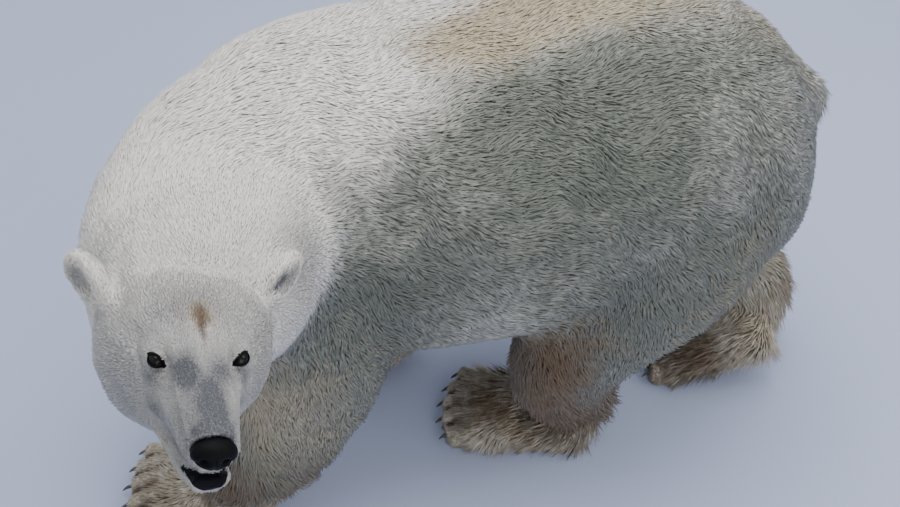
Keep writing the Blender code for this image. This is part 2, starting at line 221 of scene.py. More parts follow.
class BearColours(bpy.types.PropertyGroup):
    """Colours that a user would change."""

    cream: FloatVectorProperty(
        name="Cream", description="Clean fur", default=(0.90, 0.85, 0.79), **TINT
    )
    # Damp: dull greenish damp fur of the flank, its colour set darker than the fur itself as painted shade on
    # the flank.
    damp_and_shade: FloatVectorProperty(
        name="Damp", description="Dull greenish fur of the flank", default=(0.168, 0.178, 0.150), **TINT
    )
    yellow: FloatVectorProperty(
        name="Yellow", description="Yellowed fur along the back and chest", default=(0.50, 0.42, 0.29), **TINT
    )
    # Rust: stains of the lower legs, also used for painted shadow under the flank at the right hind heel and
    # in the toe clefts.
    rust_and_shade: FloatVectorProperty(
        name="Rust", description="Stained fur of the lower legs", default=(0.170, 0.108, 0.062), **TINT
    )
    # Thin fur: dark skin showing through thin fur, also used for painted shade on the face, at the eyes,
    # behind and inside the ears and between the toes.
    thin_fur_and_shade: FloatVectorProperty(
        name="Thin fur",
        description="Fur with dark skin showing through",
        default=(0.108, 0.112, 0.125),
        **TINT,
    )
    bare: FloatVectorProperty(
        name="Bare skin",
        description="Black skin of lips, lids and pads",
        default=(0.006, 0.006, 0.008),
        **TINT,
    )
    iris: FloatVectorProperty(
        name="Iris", description="Brown ring of the eye", default=(0.012, 0.007, 0.004), **TINT
    )
    horn: FloatVectorProperty(
        name="Horn", description="Claws", default=(0.035, 0.028, 0.024), **TINT
    )
    floor: FloatVectorProperty(
        name="Floor", description="Floor of the studio", default=(0.48, 0.525, 0.70), **TINT
    )


# ---------------------------------------------------------------- small tools


def head_place():
    """The head's own frame, from the places of the eyes and the nose."""
    left, right, nose = (sum(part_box(name), Vector()) / 2 for name in ("eye_left", "eye_right", "nose"))
    middle = (left + right) / 2
    across = (left - right).normalized()
    ahead = (nose - middle).normalized()
    up = across.cross(ahead).normalized()
    lean = NOSE_SPOT - Vector((0, EYE_SPOT.y, EYE_SPOT.z))
    lean.normalize()
    back = ahead * lean.y - up * lean.z
    high = across.cross(back)
    turn = Matrix((across, back, high)).transposed()
    place = turn.to_4x4()
    place.translation = middle - turn @ Vector((0, EYE_SPOT.y, EYE_SPOT.z))
    return place


def merged(node, grow=0.0):
    """A solid's mesh with its corners merged, grown along its normals."""
    made = bmesh.new()
    made.from_mesh(frame["nodes"][node].data)
    bmesh.ops.remove_doubles(made, verts=made.verts, dist=1e-5)
    made.normal_update()
    for vert in made.verts:
        vert.co += vert.normal * grow
    return made


def joined(names, grow=0.0):
    """The meshes of several solids in one, each closed."""
    whole = bmesh.new()
    for name in names:
        one = merged(name, grow)
        data = bpy.data.meshes.new(name)
        one.to_mesh(data)
        one.free()
        whole.from_mesh(data)
        bpy.data.meshes.remove(data)
    return whole


def add(name, mesh):
    """A new object of a mesh or bmesh."""
    data = mesh
    if isinstance(mesh, bmesh.types.BMesh):
        data = bpy.data.meshes.new(name)
        mesh.to_mesh(data)
        mesh.free()
    made = bpy.data.objects.new(name, data)
    bpy.context.scene.collection.objects.link(made)
    return made


def settle(thing):
    """Turns an object's modifiers into its plain mesh."""
    plain = bpy.data.meshes.new_from_object(thing.evaluated_get(bpy.context.evaluated_depsgraph_get()))
    thing.modifiers.clear()
    old = thing.data
    thing.data = plain
    if old.users == 0:
        bpy.data.meshes.remove(old)
    plain.name = thing.name


def read(items, key, kind=float, wide=3):
    """One property of all the items of a mesh, as rows of numbers."""
    values = np.empty(len(items) * wide, kind)
    items.foreach_get(key, values)
    return values.reshape(-1, wide) if wide > 1 else values


def points_of(mesh):
    return read(mesh.vertices, "co")


def links_of(mesh):
    return read(mesh.edges, "vertices", np.int32, 2)


def move_to(mesh, places):
    mesh.vertices.foreach_set("co", places.ravel())
    mesh.update()


def spread(values, links, times, share=0.5):
    """Values on the corners, each drawn towards the mean of its neighbours."""
    first, second = links.T
    count = len(values)
    flat = values.reshape(count, -1)
    near = np.maximum(np.bincount(first, minlength=count) + np.bincount(second, minlength=count), 1)
    if not np.isscalar(share):
        share = share[:, None]
    for _ in range(times):
        total = [
            np.bincount(first, column[second], count) + np.bincount(second, column[first], count)
            for column in flat.T
        ]
        flat = flat + share * (np.stack(total, axis=1) / near[:, None] - flat)
    return flat.reshape(values.shape)


def rounded(places, links, times, share):
    """Smoothed places that keep their volume."""
    for _ in range(times):
        places = spread(places, links, 1, share)
        places = spread(places, links, 1, -1.02 * share)
    return places


def unit(vectors):
    return vectors / np.maximum(np.linalg.norm(vectors, axis=1, keepdims=True), 1e-9)


def step(values, low, high):
    """A smooth rise from 0 at low to 1 at high."""
    share = np.clip((values - low) / (high - low), 0, 1)
    return share * share * (3 - 2 * share)


def bell(values):
    """1 at 0, falling away smoothly on both sides."""
    return np.exp(-(values**2))


def bump_at(places, centre, radii):
    """A soft mound: 1 at its centre, falling away over its radii."""
    away = (places - np.array(centre)) / np.array(radii)
    return np.exp(-(away**2).sum(axis=1))


def mounds(places, table):
    """The sum of soft mounds, each given by its height, its middle and its reach."""
    return sum(height * bump_at(places, middle, reach) for height, middle, reach in table)


def store(mesh, name, values, kind="FLOAT", domain="POINT"):
    """Stores values on a mesh as a named attribute."""
    key = {"FLOAT": "value", "INT": "value", "FLOAT_VECTOR": "vector", "FLOAT_COLOR": "color"}[kind]
    flat = np.ascontiguousarray(values, np.int32 if kind == "INT" else np.float32).ravel()
    mesh.attributes.new(name, kind, domain).data.foreach_set(key, flat)


def feed(made, inputs):
    """Gives a node's inputs their values, or links them to the sockets given."""
    for key, value in inputs.items():
        if isinstance(value, bpy.types.NodeSocket):
            made.id_data.links.new(value, made.inputs[key])
        else:
            made.inputs[key].default_value = value
    return made


def builder(tree):
    """A way to add a node to a tree: its kind, its inputs by name or number, and its settings."""

    def node(kind, inputs=None, **settings):
        made = tree.nodes.new(kind)
        for key, value in settings.items():
            setattr(made, key, value)
        return feed(made, inputs or {})

    return node


def maths(node, operation, *values, **settings):
    inputs = dict(enumerate(values))
    return node("ShaderNodeMath", inputs, operation=operation, **settings).outputs[0]


def vectors(node, operation, *values, scale=None):
    inputs = dict(enumerate(values))
    if scale is not None:
        inputs["Scale"] = scale
    return node("ShaderNodeVectorMath", inputs, operation=operation).outputs["Vector"]


# ---------------------------------------------------------------- the skin


def rough_skin(grain):
    """One closed skin round all the flesh, in even faces."""
    skin = add("skin", joined(FLESH, grow=SKIN_OVERLAP))
    remesh = skin.modifiers.new("one skin", "REMESH")
    remesh.mode = "VOXEL"
    remesh.voxel_size = grain
    settle(skin)
    return skin


def solids_tree(names):
    """A search tree over the surfaces of the named solids, with each face's solid."""
    corners, faces, owner = [], [], []
    for name in names:
        one = merged(name)
        start = len(corners)
        corners += [vert.co.copy() for vert in one.verts]
        for face in one.faces:
            faces.append([start + vert.index for vert in face.verts])
            owner.append(name)
        one.free()
    return BVHTree.FromPolygons(corners, faces), owner


def nearest_solids(places):
    """For each place, the nearest solid's region and its number in the flesh."""
    tree, owner = solids_tree(FLESH)
    kind = {name: next(i for i, region in enumerate(REGIONS) if name.startswith(region)) for name in FLESH}
    found = [owner[tree.find_nearest(Vector(place))[2]] for place in places]
    return np.array([kind[name] for name in found]), np.array([FLESH.index(name) for name in found])


def finer(mesh, wanted):
    """Splits the faces round the wanted corners."""
    made = bmesh.new()
    made.from_mesh(mesh)
    made.verts.ensure_lookup_table()
    edges = {
        edge
        for face in made.faces
        if all(wanted[vert.index] for vert in face.verts)
        for edge in face.edges
    }
    bmesh.ops.subdivide_edges(made, edges=list(edges), cuts=1, use_grid_fill=True)
    made.to_mesh(mesh)
    made.free()
    mesh.update()


def refine(skin, into_head):
    """Gives the head and feet, then the face, then the eyes, nose and lips, finer faces."""
    tree, _ = solids_tree((*FLESH, "nose", "eye_left", "eye_right"))

    def head_and_feet(q, p):
        head = (q[:, 1] < 0.03) & (np.linalg.norm(q, axis=1) < 0.5) & (np.abs(q[:, 2]) < 0.26)
        return head | (p[:, 2] < 0.13)

    def face_and_toes(q, p):
        face = (q[:, 1] < -0.15) & (np.abs(q[:, 0]) < 0.12) & (np.abs(q[:, 2]) < 0.13) & (q[:, 1] > -0.45)
        ears = np.linalg.norm(np.abs(q) - np.abs(EAR), axis=1) < 0.052
        ears &= (q[:, 2] > 0) & (q[:, 1] < 0.01)
        return face | ears | ((toe_distance(p) < 0.065) & (p[:, 2] > 0.012))

    def features(q, p):
        eyes = np.linalg.norm(np.abs(q) - [EYE_SPOT.x, -EYE_SPOT.y, EYE_SPOT.z], axis=1) < 0.026
        lips = (q[:, 1] < -0.335) & (np.abs(q[:, 0]) < 0.06) & (q[:, 1] > -0.45) & (np.abs(q[:, 2]) < 0.14)
        return eyes | lips

    for wanted, drawn, times in ((head_and_feet, True, 5), (face_and_toes, True, 3), (features, False, 3)):
        places = points_of(skin.data)
        finer(skin.data, wanted(into_head(places), places))
        places, links = points_of(skin.data), links_of(skin.data)
        here = wanted(into_head(places), places)
        share = spread(here.astype(float), links, 6)
        if drawn:
            chosen = np.flatnonzero(share > 0.02)
            near = np.array([tree.find_nearest(Vector(places[index]))[0] for index in chosen])
            places[chosen] += (near - places[chosen]) * share[chosen, None]
        move_to(skin.data, rounded(places, links, times, 0.5 * share))


def claw_spots(foot):
    """The middle of each claw of a foot, from its first toe to its last."""
    kind, side = foot.split("_")
    boxes = [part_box(f"{FEET[kind]}_{side}_{toe}") for toe in range(1, 6)]
    return np.array([(np.array(low) + np.array(high)) / 2 for low, high in boxes])


def toe_distance(places):
    """How far each place lies from the nearest claw."""
    spots = np.concatenate([claw_spots(foot) for foot in PAWS])
    return np.min([np.linalg.norm(places - spot, axis=1) for spot in spots], axis=0)


def toe_clefts(places):
    """How deep the clefts between the toes go at each place of a foot."""
    depth = np.zeros(len(places))
    for foot in PAWS:
        spots = claw_spots(foot)
        low, high = (np.array(corner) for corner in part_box(foot))
        ahead = spots.mean(axis=0) - (low + high) / 2
        ahead[2] = 0
        ahead /= np.linalg.norm(ahead)
        across = np.array([-ahead[1], ahead[0], 0])
        middle = spots.mean(axis=0)
        along = (places - middle) @ ahead
        fan = 1 + 1.2 * np.clip(along, -0.2, 0.05)
        side = (places - middle) @ across / fan
        toes = np.sort((spots - middle) @ across)
        window = step(along, -0.105, -0.050) * (along < 0.06) * (np.abs(side) < 0.13)
        for place in (toes[:-1] + toes[1:]) / 2:
            depth += window * bell((side - place) / CLEFT_WIDTH)
    return depth


def shape_ears(local, nodes, facing, links):
    """Fills each ear out to a thick round shape and opens its narrow slit; also says where the slit is, as a
    mask of painted shade in the slit and over the ear's bowl.
    """
    slit_and_bowl_shade = np.zeros(len(local))
    for name, side in (("ear_left", 1), ("ear_right", -1)):
        flip = np.array([side, 1, 1])
        back = -EAR_FACING * flip / np.linalg.norm(EAR_FACING)
        across = np.cross(back, EAR_UP * flip)
        across /= np.linalg.norm(across)
        axes = np.stack([across, back, np.cross(across, back)], axis=1)
        centre = EAR * flip
        within = (local - centre) @ axes / (EAR_SHARE * EAR_SIZE)
        ear = nodes == FLESH.index(name)
        around = np.hypot(within[:, 0], within[:, 2])
        front = ear * step(-(facing @ back), -0.25, 0.25) * (around < 1)
        hollow = 1 - EAR_HOLLOW * bell(around / 0.5)
        height = -EAR_FILL * np.sqrt(np.maximum(1 - around**2, 0)) * hollow
        lower = np.minimum(height - within[:, 1], 0) * EAR_SHARE * EAR_SIZE[1] * front
        local = local + lower[:, None] * back
        soft = spread(ear.astype(float), links, 3)
        local = rounded(local, links, 8, 0.5 * soft)
        middle, run, reach, dark = EAR_SLITS[name]
        run = np.array(run)
        away = local - np.array(middle)
        along = away @ run / reach
        off = away @ unit(np.cross(run, SLIT_DEPTH)[None])[0]
        hole = np.exp(-((off / SLIT_WIDTH) ** 2) - along**4) * soft * step(-(facing @ back), -0.4, 0.1)
        local = local + SLIT_DEPTH * (SLIT_CUT * hole)[:, None]
        # Painted shade in the slit and over the ear's bowl.
        bowl = front * (1 - step(around, 0.35, 0.80))
        slit_and_bowl_shade = np.maximum(slit_and_bowl_shade, np.maximum(dark * hole, 0.50 * bowl))
    return local, slit_and_bowl_shade


def eye_place(side):
    """The eye's spot on one side of the head."""
    return np.array([side * EYE_SPOT.x, EYE_SPOT.y, EYE_SPOT.z])


def mouth_line(local):
    """How high the slit of the mouth lies, for each place's distance ahead."""
    hang = 0.008 + 0.0085 * step(local[:, 1], -0.355, -0.312)
    return MOUTH_CORNER[1] + math.tan(MOUTH_RISE) * (MOUTH_CORNER[0] - local[:, 1]) - hang


def sculpt_face(local):
    """How far each place of the head moves along its normal for brows, cheeks, lips and whisker pads."""
    half = local.copy()
    half[:, 0] = np.abs(half[:, 0])
    move = mounds(half, FACE_MOUNDS)
    ahead = 0.35 * step(-local[:, 1], 0.225, 0.265) + 0.65 * step(-local[:, 1], 0.285, 0.315)
    up = local[:, 2] - mouth_line(local)
    move -= 0.0070 * ahead * bell(up / 0.0045)
    move += 0.0030 * ahead * bell((up - 0.009) / 0.006)
    move += 0.0020 * ahead * bell((up + 0.014) / 0.007)
    return move


def lid_shape(local, side):
    """Measures round an eye: along the slit, across it, and out of the head; and those three ways."""
    gaze = np.array(GAZE) * [side, 1, 1]
    centre = eye_place(side) + EYE_FORWARD * gaze
    slant = np.array([side * 0.78, 0.33, 0.42])
    along = slant - gaze * slant.dot(gaze)
    along /= np.linalg.norm(along)
    up = np.cross(gaze, along) * side
    if up[2] < 0:
        up = -up
    away = local - centre
    return away @ along, away @ up, away @ gaze, along, up, gaze


def set_lids(local):
    """Draws the skin in round each eye, so that it lies on the eyeball as lids with an almond opening."""
    moved = local.copy()
    bare = np.zeros(len(local))
    for side in (1, -1):
        u, v, out, _, _, gaze = lid_shape(local, side)
        wide, above, below = EYE_OPENING
        ring = np.sqrt((u / wide) ** 2 + (v / np.where(v > 0, above, below)) ** 2)
        near = (ring < 3.7) & (out > -0.03)
        flat = np.sqrt(u**2 + v**2)
        ball = np.sqrt(np.maximum(LID_RADIUS**2 - np.minimum(flat, LID_RADIUS) ** 2, 0))
        ridge = 0.0008 * bell((ring - 1.35) / 0.28)
        hug = np.where(ring < 1.0, ball - 0.006, ball + 0.0006 + ridge)
        share = 1 - step(ring, 1.25, 3.6)
        target = out + (hug - out) * share
        moved[near] += (gaze * (target - out)[:, None])[near]
        almond = (u / 0.0185) ** 2 + np.abs(v) / np.where(v > 0, 0.0120, 0.0105)
        bare = np.maximum(bare, np.where(near, 1 - step(almond, 0.82, 1.08), 0))
    return moved, bare


def blend(rows, other, share):
    """Rows of numbers, each drawn towards the other row by its share."""
    return rows * (1 - share[:, None]) + np.array(other) * share[:, None]


def coat_table(kinds, links, places, local, in_head):
    """Depth, length, width, lift, density and stray of the coat at each corner of the skin."""
    rows = np.array([COAT[region] for region in REGIONS])[kinds]
    nape = 0.8 * of_region(kinds, "neck") * step(-local[:, 1], -0.12, 0.10)
    rows = blend(rows, COAT["head"], nape)
    share = in_head * step(-local[:, 1], 0.10, 0.30)
    round_eyes = bump_at(np.abs(local), (0.05, 0.21, 0.04), (0.05, 0.05, 0.05))
    share = np.maximum(share, in_head * 0.75 * round_eyes)
    rows = blend(rows, MUZZLE, share)
    toes = of_region(kinds, "forepaw", "hindpaw") * (1 - step(toe_distance(places), 0.045, 0.085))
    rows = blend(rows, TOES, toes)
    shaggy = of_region(kinds, "hindleg", "foreleg") * (1 - step(places[:, 2], 0.20, 0.50))
    heel = of_region(kinds, "hindleg", "hindpaw") * (1 - step(places[:, 2], 0.10, 0.30)) * (1 - toes)
    rows[:, 1] *= 1 + 0.45 * shaggy + 0.75 * heel
    rows[:, 2] *= 1 + 0.20 * heel
    rows[:, 3] *= 1 + 0.75 * shaggy + 0.30 * heel
    eyes = in_head * bump_at(np.abs(local), (EYE_SPOT.x, -EYE_SPOT.y, EYE_SPOT.z), (0.026, 0.026, 0.026))
    rows[:, 1] *= 1 - 0.62 * eyes
    rows[:, 3] *= 1 - 0.50 * eyes
    # The density is blended by its root, so that sparse and dense coats meet half way.
    rows[:, 4] = np.sqrt(rows[:, 4])
    rows = spread(rows, links, 22)
    rows[:, 4] **= 2
    return rows


def of_region(kinds, *names):
    """1 where a corner belongs to one of the named regions."""
    return np.isin(kinds, [REGIONS.index(name) for name in names]).astype(float)


def lie_of_coat(places, normals, kinds, links, head, stray):
    """The way the fur points at each corner, along the skin."""
    turn = np.array(head.to_3x3())
    local = (places - np.array(head.translation)) @ turn
    local_back = turn @ np.array([0.0, 1.0, -0.12])
    rump = step(places[:, 1], 0.25, 0.62)[:, None]
    ways = {
        "trunk": np.array([0, 1, -0.42]) * (1 - rump) + np.array([0, 0.45, -1.0]) * rump,
        "neck": np.array([-0.62, 0.66, -0.42]),
        "head": local_back,
        "lower_jaw": local_back,
        "ear": turn @ np.array([0.0, 0.15, 1.0]),
        "tail": np.array([0, 0.35, -1.0]),
        "foreleg": np.array([0, 0.30, -1.0]),
        "hindleg": np.array([0, 0.42, -1.0]),
        "forepaw": np.array([0, -0.9, -0.45]),
        "hindpaw": np.array([0, -0.9, -0.45]),
    }
    lie = np.zeros_like(places)
    for index, region in enumerate(REGIONS):
        here = kinds == index
        lie[here] = np.broadcast_to(ways[region], places.shape)[here]
    lie = unit(lie)
    for side in (1, -1):
        away = local - eye_place(side)
        near = bell(np.linalg.norm(away, axis=1) / 0.024) * of_region(kinds, "head")
        lie += 2.2 * near[:, None] * (unit(away) @ turn.T)
    lie = unit(lie)
    for _ in range(4):
        lie = spread(lie, links, 9)
        lie = unit(lie - normals * (lie * normals).sum(axis=1, keepdims=True))
    x, y, z = places.T
    sway = 0.30 * np.sin(21 * y + 9 * z + 2.0 * np.sin(7 * x + 4 * z))
    sway = sway + 0.20 * np.sin(47 * y - 31 * z + 13 * x)
    sway = (sway * stray)[:, None]
    side = np.cross(normals, lie)
    return lie * np.cos(sway) + side * np.sin(sway)


def body_marks(places, kinds):
    """Masks of damp fur that also holds painted shade, yellow fur, and rusty fur with painted shadow at the
    right hind heel, on the body, legs and paws, before they are softened.
    """
    x, y, z = places.T
    cloud = 0.5 + 0.25 * np.sin(9 * y + 4 * z + 1.5 * np.sin(11 * x)) + 0.25 * np.sin(17 * z - 8 * y + 5 * x)
    body = of_region(kinds, "trunk", "tail")
    limb = of_region(kinds, "foreleg", "hindleg")
    paw = of_region(kinds, "forepaw", "hindpaw")
    from_spine = np.abs(x - SPINE) + 0.26 * np.maximum(0, 0.85 - z)
    clean_to = np.interp(from_spine, *CLEAN_BACK)
    ridge = bell(from_spine / 0.13) * body
    under = (1 - step(z, 0.45, 0.78)) * (body + limb)

    # Damp fur of the flank and lower body; its dark colour also stands for painted shade on the flank, and it
    # is weaker on the bear's right side.
    damp_and_shade = (body + limb) * step(y - clean_to, -0.20 - 0.08 * ridge, 0.14 + 0.10 * ridge)
    for least in (0.55 * under, 0.85 * limb * step(x, -0.10, 0.06), 0.26 * paw):
        damp_and_shade = np.maximum(damp_and_shade, least)
    hidden = step(-x, 0.16, 0.42) * (body + limb)
    damp_and_shade *= 1 - 0.10 * (1 - step(z, 0.55, 0.80)) * (1 - cloud) - hidden * (0.45 + 0.25 * cloud)
    dry = 1 - np.minimum(1.5 * bump_at(places, *WET_FLANK), 1)
    damp_and_shade *= 1 - body * (0.235 * dry + 0.05 * (1 - step(z, 0.70, 0.85))) - 0.06 * limb
    frost = bump_at(places, *FROST) * (0.6 + 0.8 * cloud)
    damp_and_shade *= 1 - 0.14 * frost - 0.10 * step(y, 0.55, 0.72)

    streak = bell((x + 0.245 + 0.17 * (y + 0.03)) / 0.060) * step(y, -0.22, 0.04) * body
    chest = np.exp(-(((y + 0.42) / 0.17) ** 2) - ((z - 0.54) / 0.24) ** 2) * (body + limb)
    yellow = 0.60 * ridge**2 * step(y, 0.0, 0.12) * (0.5 + 0.5 * cloud)
    yellow += 1.60 * streak * (1 - step(y, 0.12, 0.35)) * step(z, 0.8, 0.9)
    yellow += 0.42 * chest + 0.22 * under + 0.25 * limb * step(y, 0.25, 0.5) + 0.60 * paw

    low = 1 - step(z, 0.14, 0.48)
    rust_and_shade = (0.75 * limb + 0.50 * paw) * low * (0.35 + 0.65 * cloud)
    rust_and_shade += 0.80 * limb * bump_at(places, *RUST_THIGH)
    # Painted shadow under the flank, over the right hind heel, in the rust colour.
    rust_and_shade += 0.45 * (limb + paw) * bump_at(places, *SHADOW_AT_HEEL)
    rust_and_shade += 0.60 * paw * bump_at(places, *RUST_TOES)
    return np.stack([damp_and_shade, yellow, rust_and_shade])


def thin_fur_and_shade_marks(kinds, links, local, in_head, wash):
    """A mask of the thin fur of the head, with dark skin under it, and of painted shade on the face, at the
    eyes and behind the ears, with painted light on the muzzle's left side.
    """
    ahead = -local[:, 1]
    half = np.abs(local)
    # The muzzle's thin fur, with painted shade on its sides; then painted light on its left side, which faces
    # the light.
    muzzle_side_shade = step(half[:, 0], 0.012, 0.030) * step(local[:, 2], -0.075, -0.05)
    thin_fur_and_shade = 0.18 * step(ahead, 0.18, 0.31) + 0.16 * step(ahead, 0.23, 0.33) * muzzle_side_shade
    thin_fur_and_shade += mounds(local, THIN_FUR_AND_SHADE_FACE) + mounds(half, EYE_SOCKET_SHADE)
    thin_fur_and_shade -= 0.12 * step(local[:, 0], 0.012, 0.028) * step(ahead, 0.20, 0.27)
    thin_fur_and_shade *= step(spread(in_head, links, 40), 0.5, 1.0)
    ear = of_region(kinds, "ear")
    # Painted shade over the head's front and face, which lie away from the top light, a little less on the
    # muzzle.
    face_shade = 0.54 * step(ahead, -0.06, 0.18) - 0.16 * step(ahead, 0.20, 0.28)
    thin_fur_and_shade += face_shade * (1 - ear) * (in_head + of_region(kinds, "neck")) + 0.20 * wash
    thin_fur_and_shade *= 1 - 0.85 * bump_at(local, *BROW_STAIN)
    # Painted shadow on the neck behind each ear.
    ear_shadow = bump_at(half, *SHADOW_BEHIND_EAR) * step(-ahead, -0.055, -0.005)
    return np.maximum(thin_fur_and_shade, 0.72 * ear_shadow * (1 - ear))


def markings(places, kinds, links, local, in_head, slit_and_bowl_shade):
    """Masks on the skin: damp, yellow and rusty fur, and thin fur with dark skin under it; the damp, rust and
    thin fur masks also carry painted shade and shadow.
    """
    sharp = body_marks(places, kinds)
    soft = spread(sharp.T, links, 40).T
    away_from_toes = step(toe_distance(places), 0.05, 0.10) * (1 - in_head)
    damp_and_shade, yellow, rust_and_shade = sharp + (soft - sharp) * away_from_toes
    wash = bump_at(local, *FACE_WASH)
    # Painted shade in the clefts between the toes, added to the rust and the thin fur.
    cleft_shade = of_region(kinds, "forepaw", "hindpaw") * toe_clefts(places)
    rust_and_shade += in_head * mounds(local, RUST_FACE) + 0.8 * cleft_shade
    yellow += 0.75 * in_head * bump_at(local, *YELLOW_FACE) + 0.28 * wash
    thin_fur_and_shade = thin_fur_and_shade_marks(kinds, links, local, in_head, wash)
    # The painted shade of the ears' slits and bowls and of the toe clefts, in the thin fur's colour.
    thin_fur_and_shade = np.maximum(thin_fur_and_shade, np.maximum(1.1 * slit_and_bowl_shade, 0.60 * cleft_shade))
    return np.clip(np.stack([damp_and_shade, yellow, rust_and_shade, thin_fur_and_shade], axis=1), 0, 1)


def bare_skin(local, turn, in_head, places, normals):
    """Where black skin shows: the lips, the rim of the nose, and the soles' pads."""
    ahead = step(-local[:, 1], 0.292, 0.308)
    up = local[:, 2] - mouth_line(local)
    front = step(-local[:, 1], 0.300, 0.335)
    facing = (normals @ turn) @ LIP_FACING
    deep = 0.004 + front * (0.0215 - 22.0 * local[:, 0] ** 2)
    lips = ahead * (1 - step(up, -0.0005, 0.0025)) * (1 - step(-up - deep, -0.0015, 0.0020))
    lips *= np.maximum(step(facing, -0.05, 0.10), step(up, -0.0055, -0.0035))
    nose = np.linalg.norm((local - np.array(NOSE_SPOT)) / [0.031, 0.022, 0.022], axis=1) < 1.0
    pads = (places[:, 2] < PAD_TOP) & (normals[:, 2] < -0.7)
    return np.maximum(in_head * np.maximum(lips, nose), pads.astype(float))


def make_skin(sizes):
    """The bear's skin with everything the coat needs to know stored on it."""
    head = head_place()
    turn = np.array(head.to_3x3())
    origin = np.array(head.translation)

    def into_head(places):
        return (places - origin) @ turn

    skin = rough_skin(sizes.skin_grain)
    mesh = skin.data
    places = points_of(mesh)
    links = links_of(mesh)
    local = into_head(places)
    face = (local[:, 1] < -0.1) & (np.linalg.norm(local, axis=1) < 0.5)
    low = places[:, 2] < 0.10
    share = np.where(face, 0.30, np.where(low, 0.25, 0.5))
    move_to(mesh, rounded(places, links, 14, share))
    refine(skin, into_head)

    places, links = points_of(mesh), links_of(mesh)
    kinds, nodes = nearest_solids(places)
    local = into_head(places)
    in_head = of_region(kinds, "head", "lower_jaw")
    table = coat_table(kinds, links, places, local, in_head)

    normals = unit(spread(read(mesh.vertex_normals, "vector"), links, 4))
    depth = table[:, 0] * step(places[:, 2], 0.0, 0.03)
    places = places - normals * depth[:, None]
    ears = spread(of_region(kinds, "ear"), links, 20)
    nape = spread(in_head, links, 60)
    nape *= 2 * (1 - nape) * (1 - step(ears, 0.0, 0.1))
    places = spread(places, links, 80, nape)
    local = into_head(places)
    places = places + normals * (sculpt_face(local) * in_head)[:, None]
    local, lids = set_lids(into_head(places))
    local = np.where(in_head[:, None] > 0, local, into_head(places))
    local, slit_and_bowl_shade = shape_ears(local, nodes, normals @ turn, links)
    places = local @ turn.T + origin
    feet = of_region(kinds, "forepaw", "hindpaw") * step(places[:, 2], 0.004, 0.02)
    places -= normals * (CLEFT_DEPTH * feet * toe_clefts(places))[:, None]
    sole = places[:, 2] < SOLE_TOP
    places[sole, 2] = SKIN_FOOT
    places[:, 2] = np.maximum(places[:, 2], SKIN_FOOT)
    move_to(mesh, places)

    normals = read(mesh.vertex_normals, "vector")
    local = into_head(places)
    bare = np.maximum(bare_skin(local, turn, in_head, places, normals), lids * in_head)
    marks = markings(places, kinds, links, local, in_head, slit_and_bowl_shade)
    store(mesh, "marks", spread(marks, links, 3), "FLOAT_COLOR")
    store(mesh, "bare", bare)
    store(mesh, "up", unit(spread(spread(normals, links, 3), links, 80, nape)), "FLOAT_VECTOR")
    lie = lie_of_coat(places, normals, kinds, links, head, table[:, 5])
    store(mesh, "lie", lie, "FLOAT_VECTOR")
    for name, column in (("length", 1), ("width", 2), ("lift", 3), ("stray", 5)):
        store(mesh, f"lock_{name}", table[:, column])
    store(mesh, "lock_density", table[:, 4] * (1 - step(bare, 0.2, 0.6)) * (1 - 0.8 * slit_and_bowl_shade))
    patch_faces(mesh, nodes, places, local)
    unwrap(skin)
    mesh.shade_smooth()
    return skin


def patch_faces(mesh, nodes, places, local):
    """Numbers each face by the piece of the coat that grows on it."""
    starts = read(mesh.polygons, "loop_start", np.int32, 1)
    first = read(mesh.loops, "vertex_index", np.int32, 1)[starts]
    node = nodes[first]
    place = places[first]
    middle = places[nodes == FLESH.index("trunk")].mean(axis=0)
    patch = np.zeros(len(first), np.int32)
    for index, name in enumerate(FLESH):
        here = node == index
        if name == "trunk":
            left = place[here, 0] > middle[0]
            quarter = np.digitize(place[here, 1], [middle[1] + cut for cut in TRUNK_CUTS])
            patch[here] = FIRST_TRUNK + TRUNK_SIDE * left + quarter
        else:
            patch[here] = next(number for number, group in enumerate(GROUPS) if name in group[1])
    face, back_of_head = 0, 1
    patch[(patch == face) & (local[first, 1] > FACE_END)] = back_of_head
    store(mesh, "patch", patch, "INT", "FACE")


def unwrap(skin):
    """Unwraps the skin's own shape into the map that the locks take their places from."""
    view = bpy.context.view_layer
    for thing in view.objects:
        thing.select_set(False)
    view.objects.active = skin
    skin.select_set(True)
    bpy.ops.object.mode_set(mode="EDIT")
    bpy.ops.mesh.select_all(action="SELECT")
    bpy.ops.uv.smart_project(angle_limit=math.radians(72), island_margin=0.002)
    bpy.ops.object.mode_set(mode="OBJECT")
    skin.data.uv_layers.active.name = "skin_map"


# Coat pieces and the solids they grow over; the back of the head joins the ears' piece, and the trunk's
# pieces are numbered after these.
GROUPS = [
    ("coat_face", ("head", "lower_jaw")),
    ("coat_head", ("ear_left", "ear_right")),
    ("coat_neck", ("neck",)),
    *((f"coat_{leg}", (leg,)) for leg in LEGS),
    ("coat_forepaws", PAWS[:2]),
    ("coat_hindpaws", PAWS[2:]),
    ("coat_tail", ("tail",)),
]
FIRST_TRUNK = len(GROUPS)
# Where the face's piece ends in the head's frame, and the trunk's pieces behind its middle, on each side.
FACE_END = -0.165
TRUNK_CUTS = (-0.22, 0.12, 0.42)
TRUNK_SIDE = len(TRUNK_CUTS) + 1


# ---------------------------------------------------------------- the coat


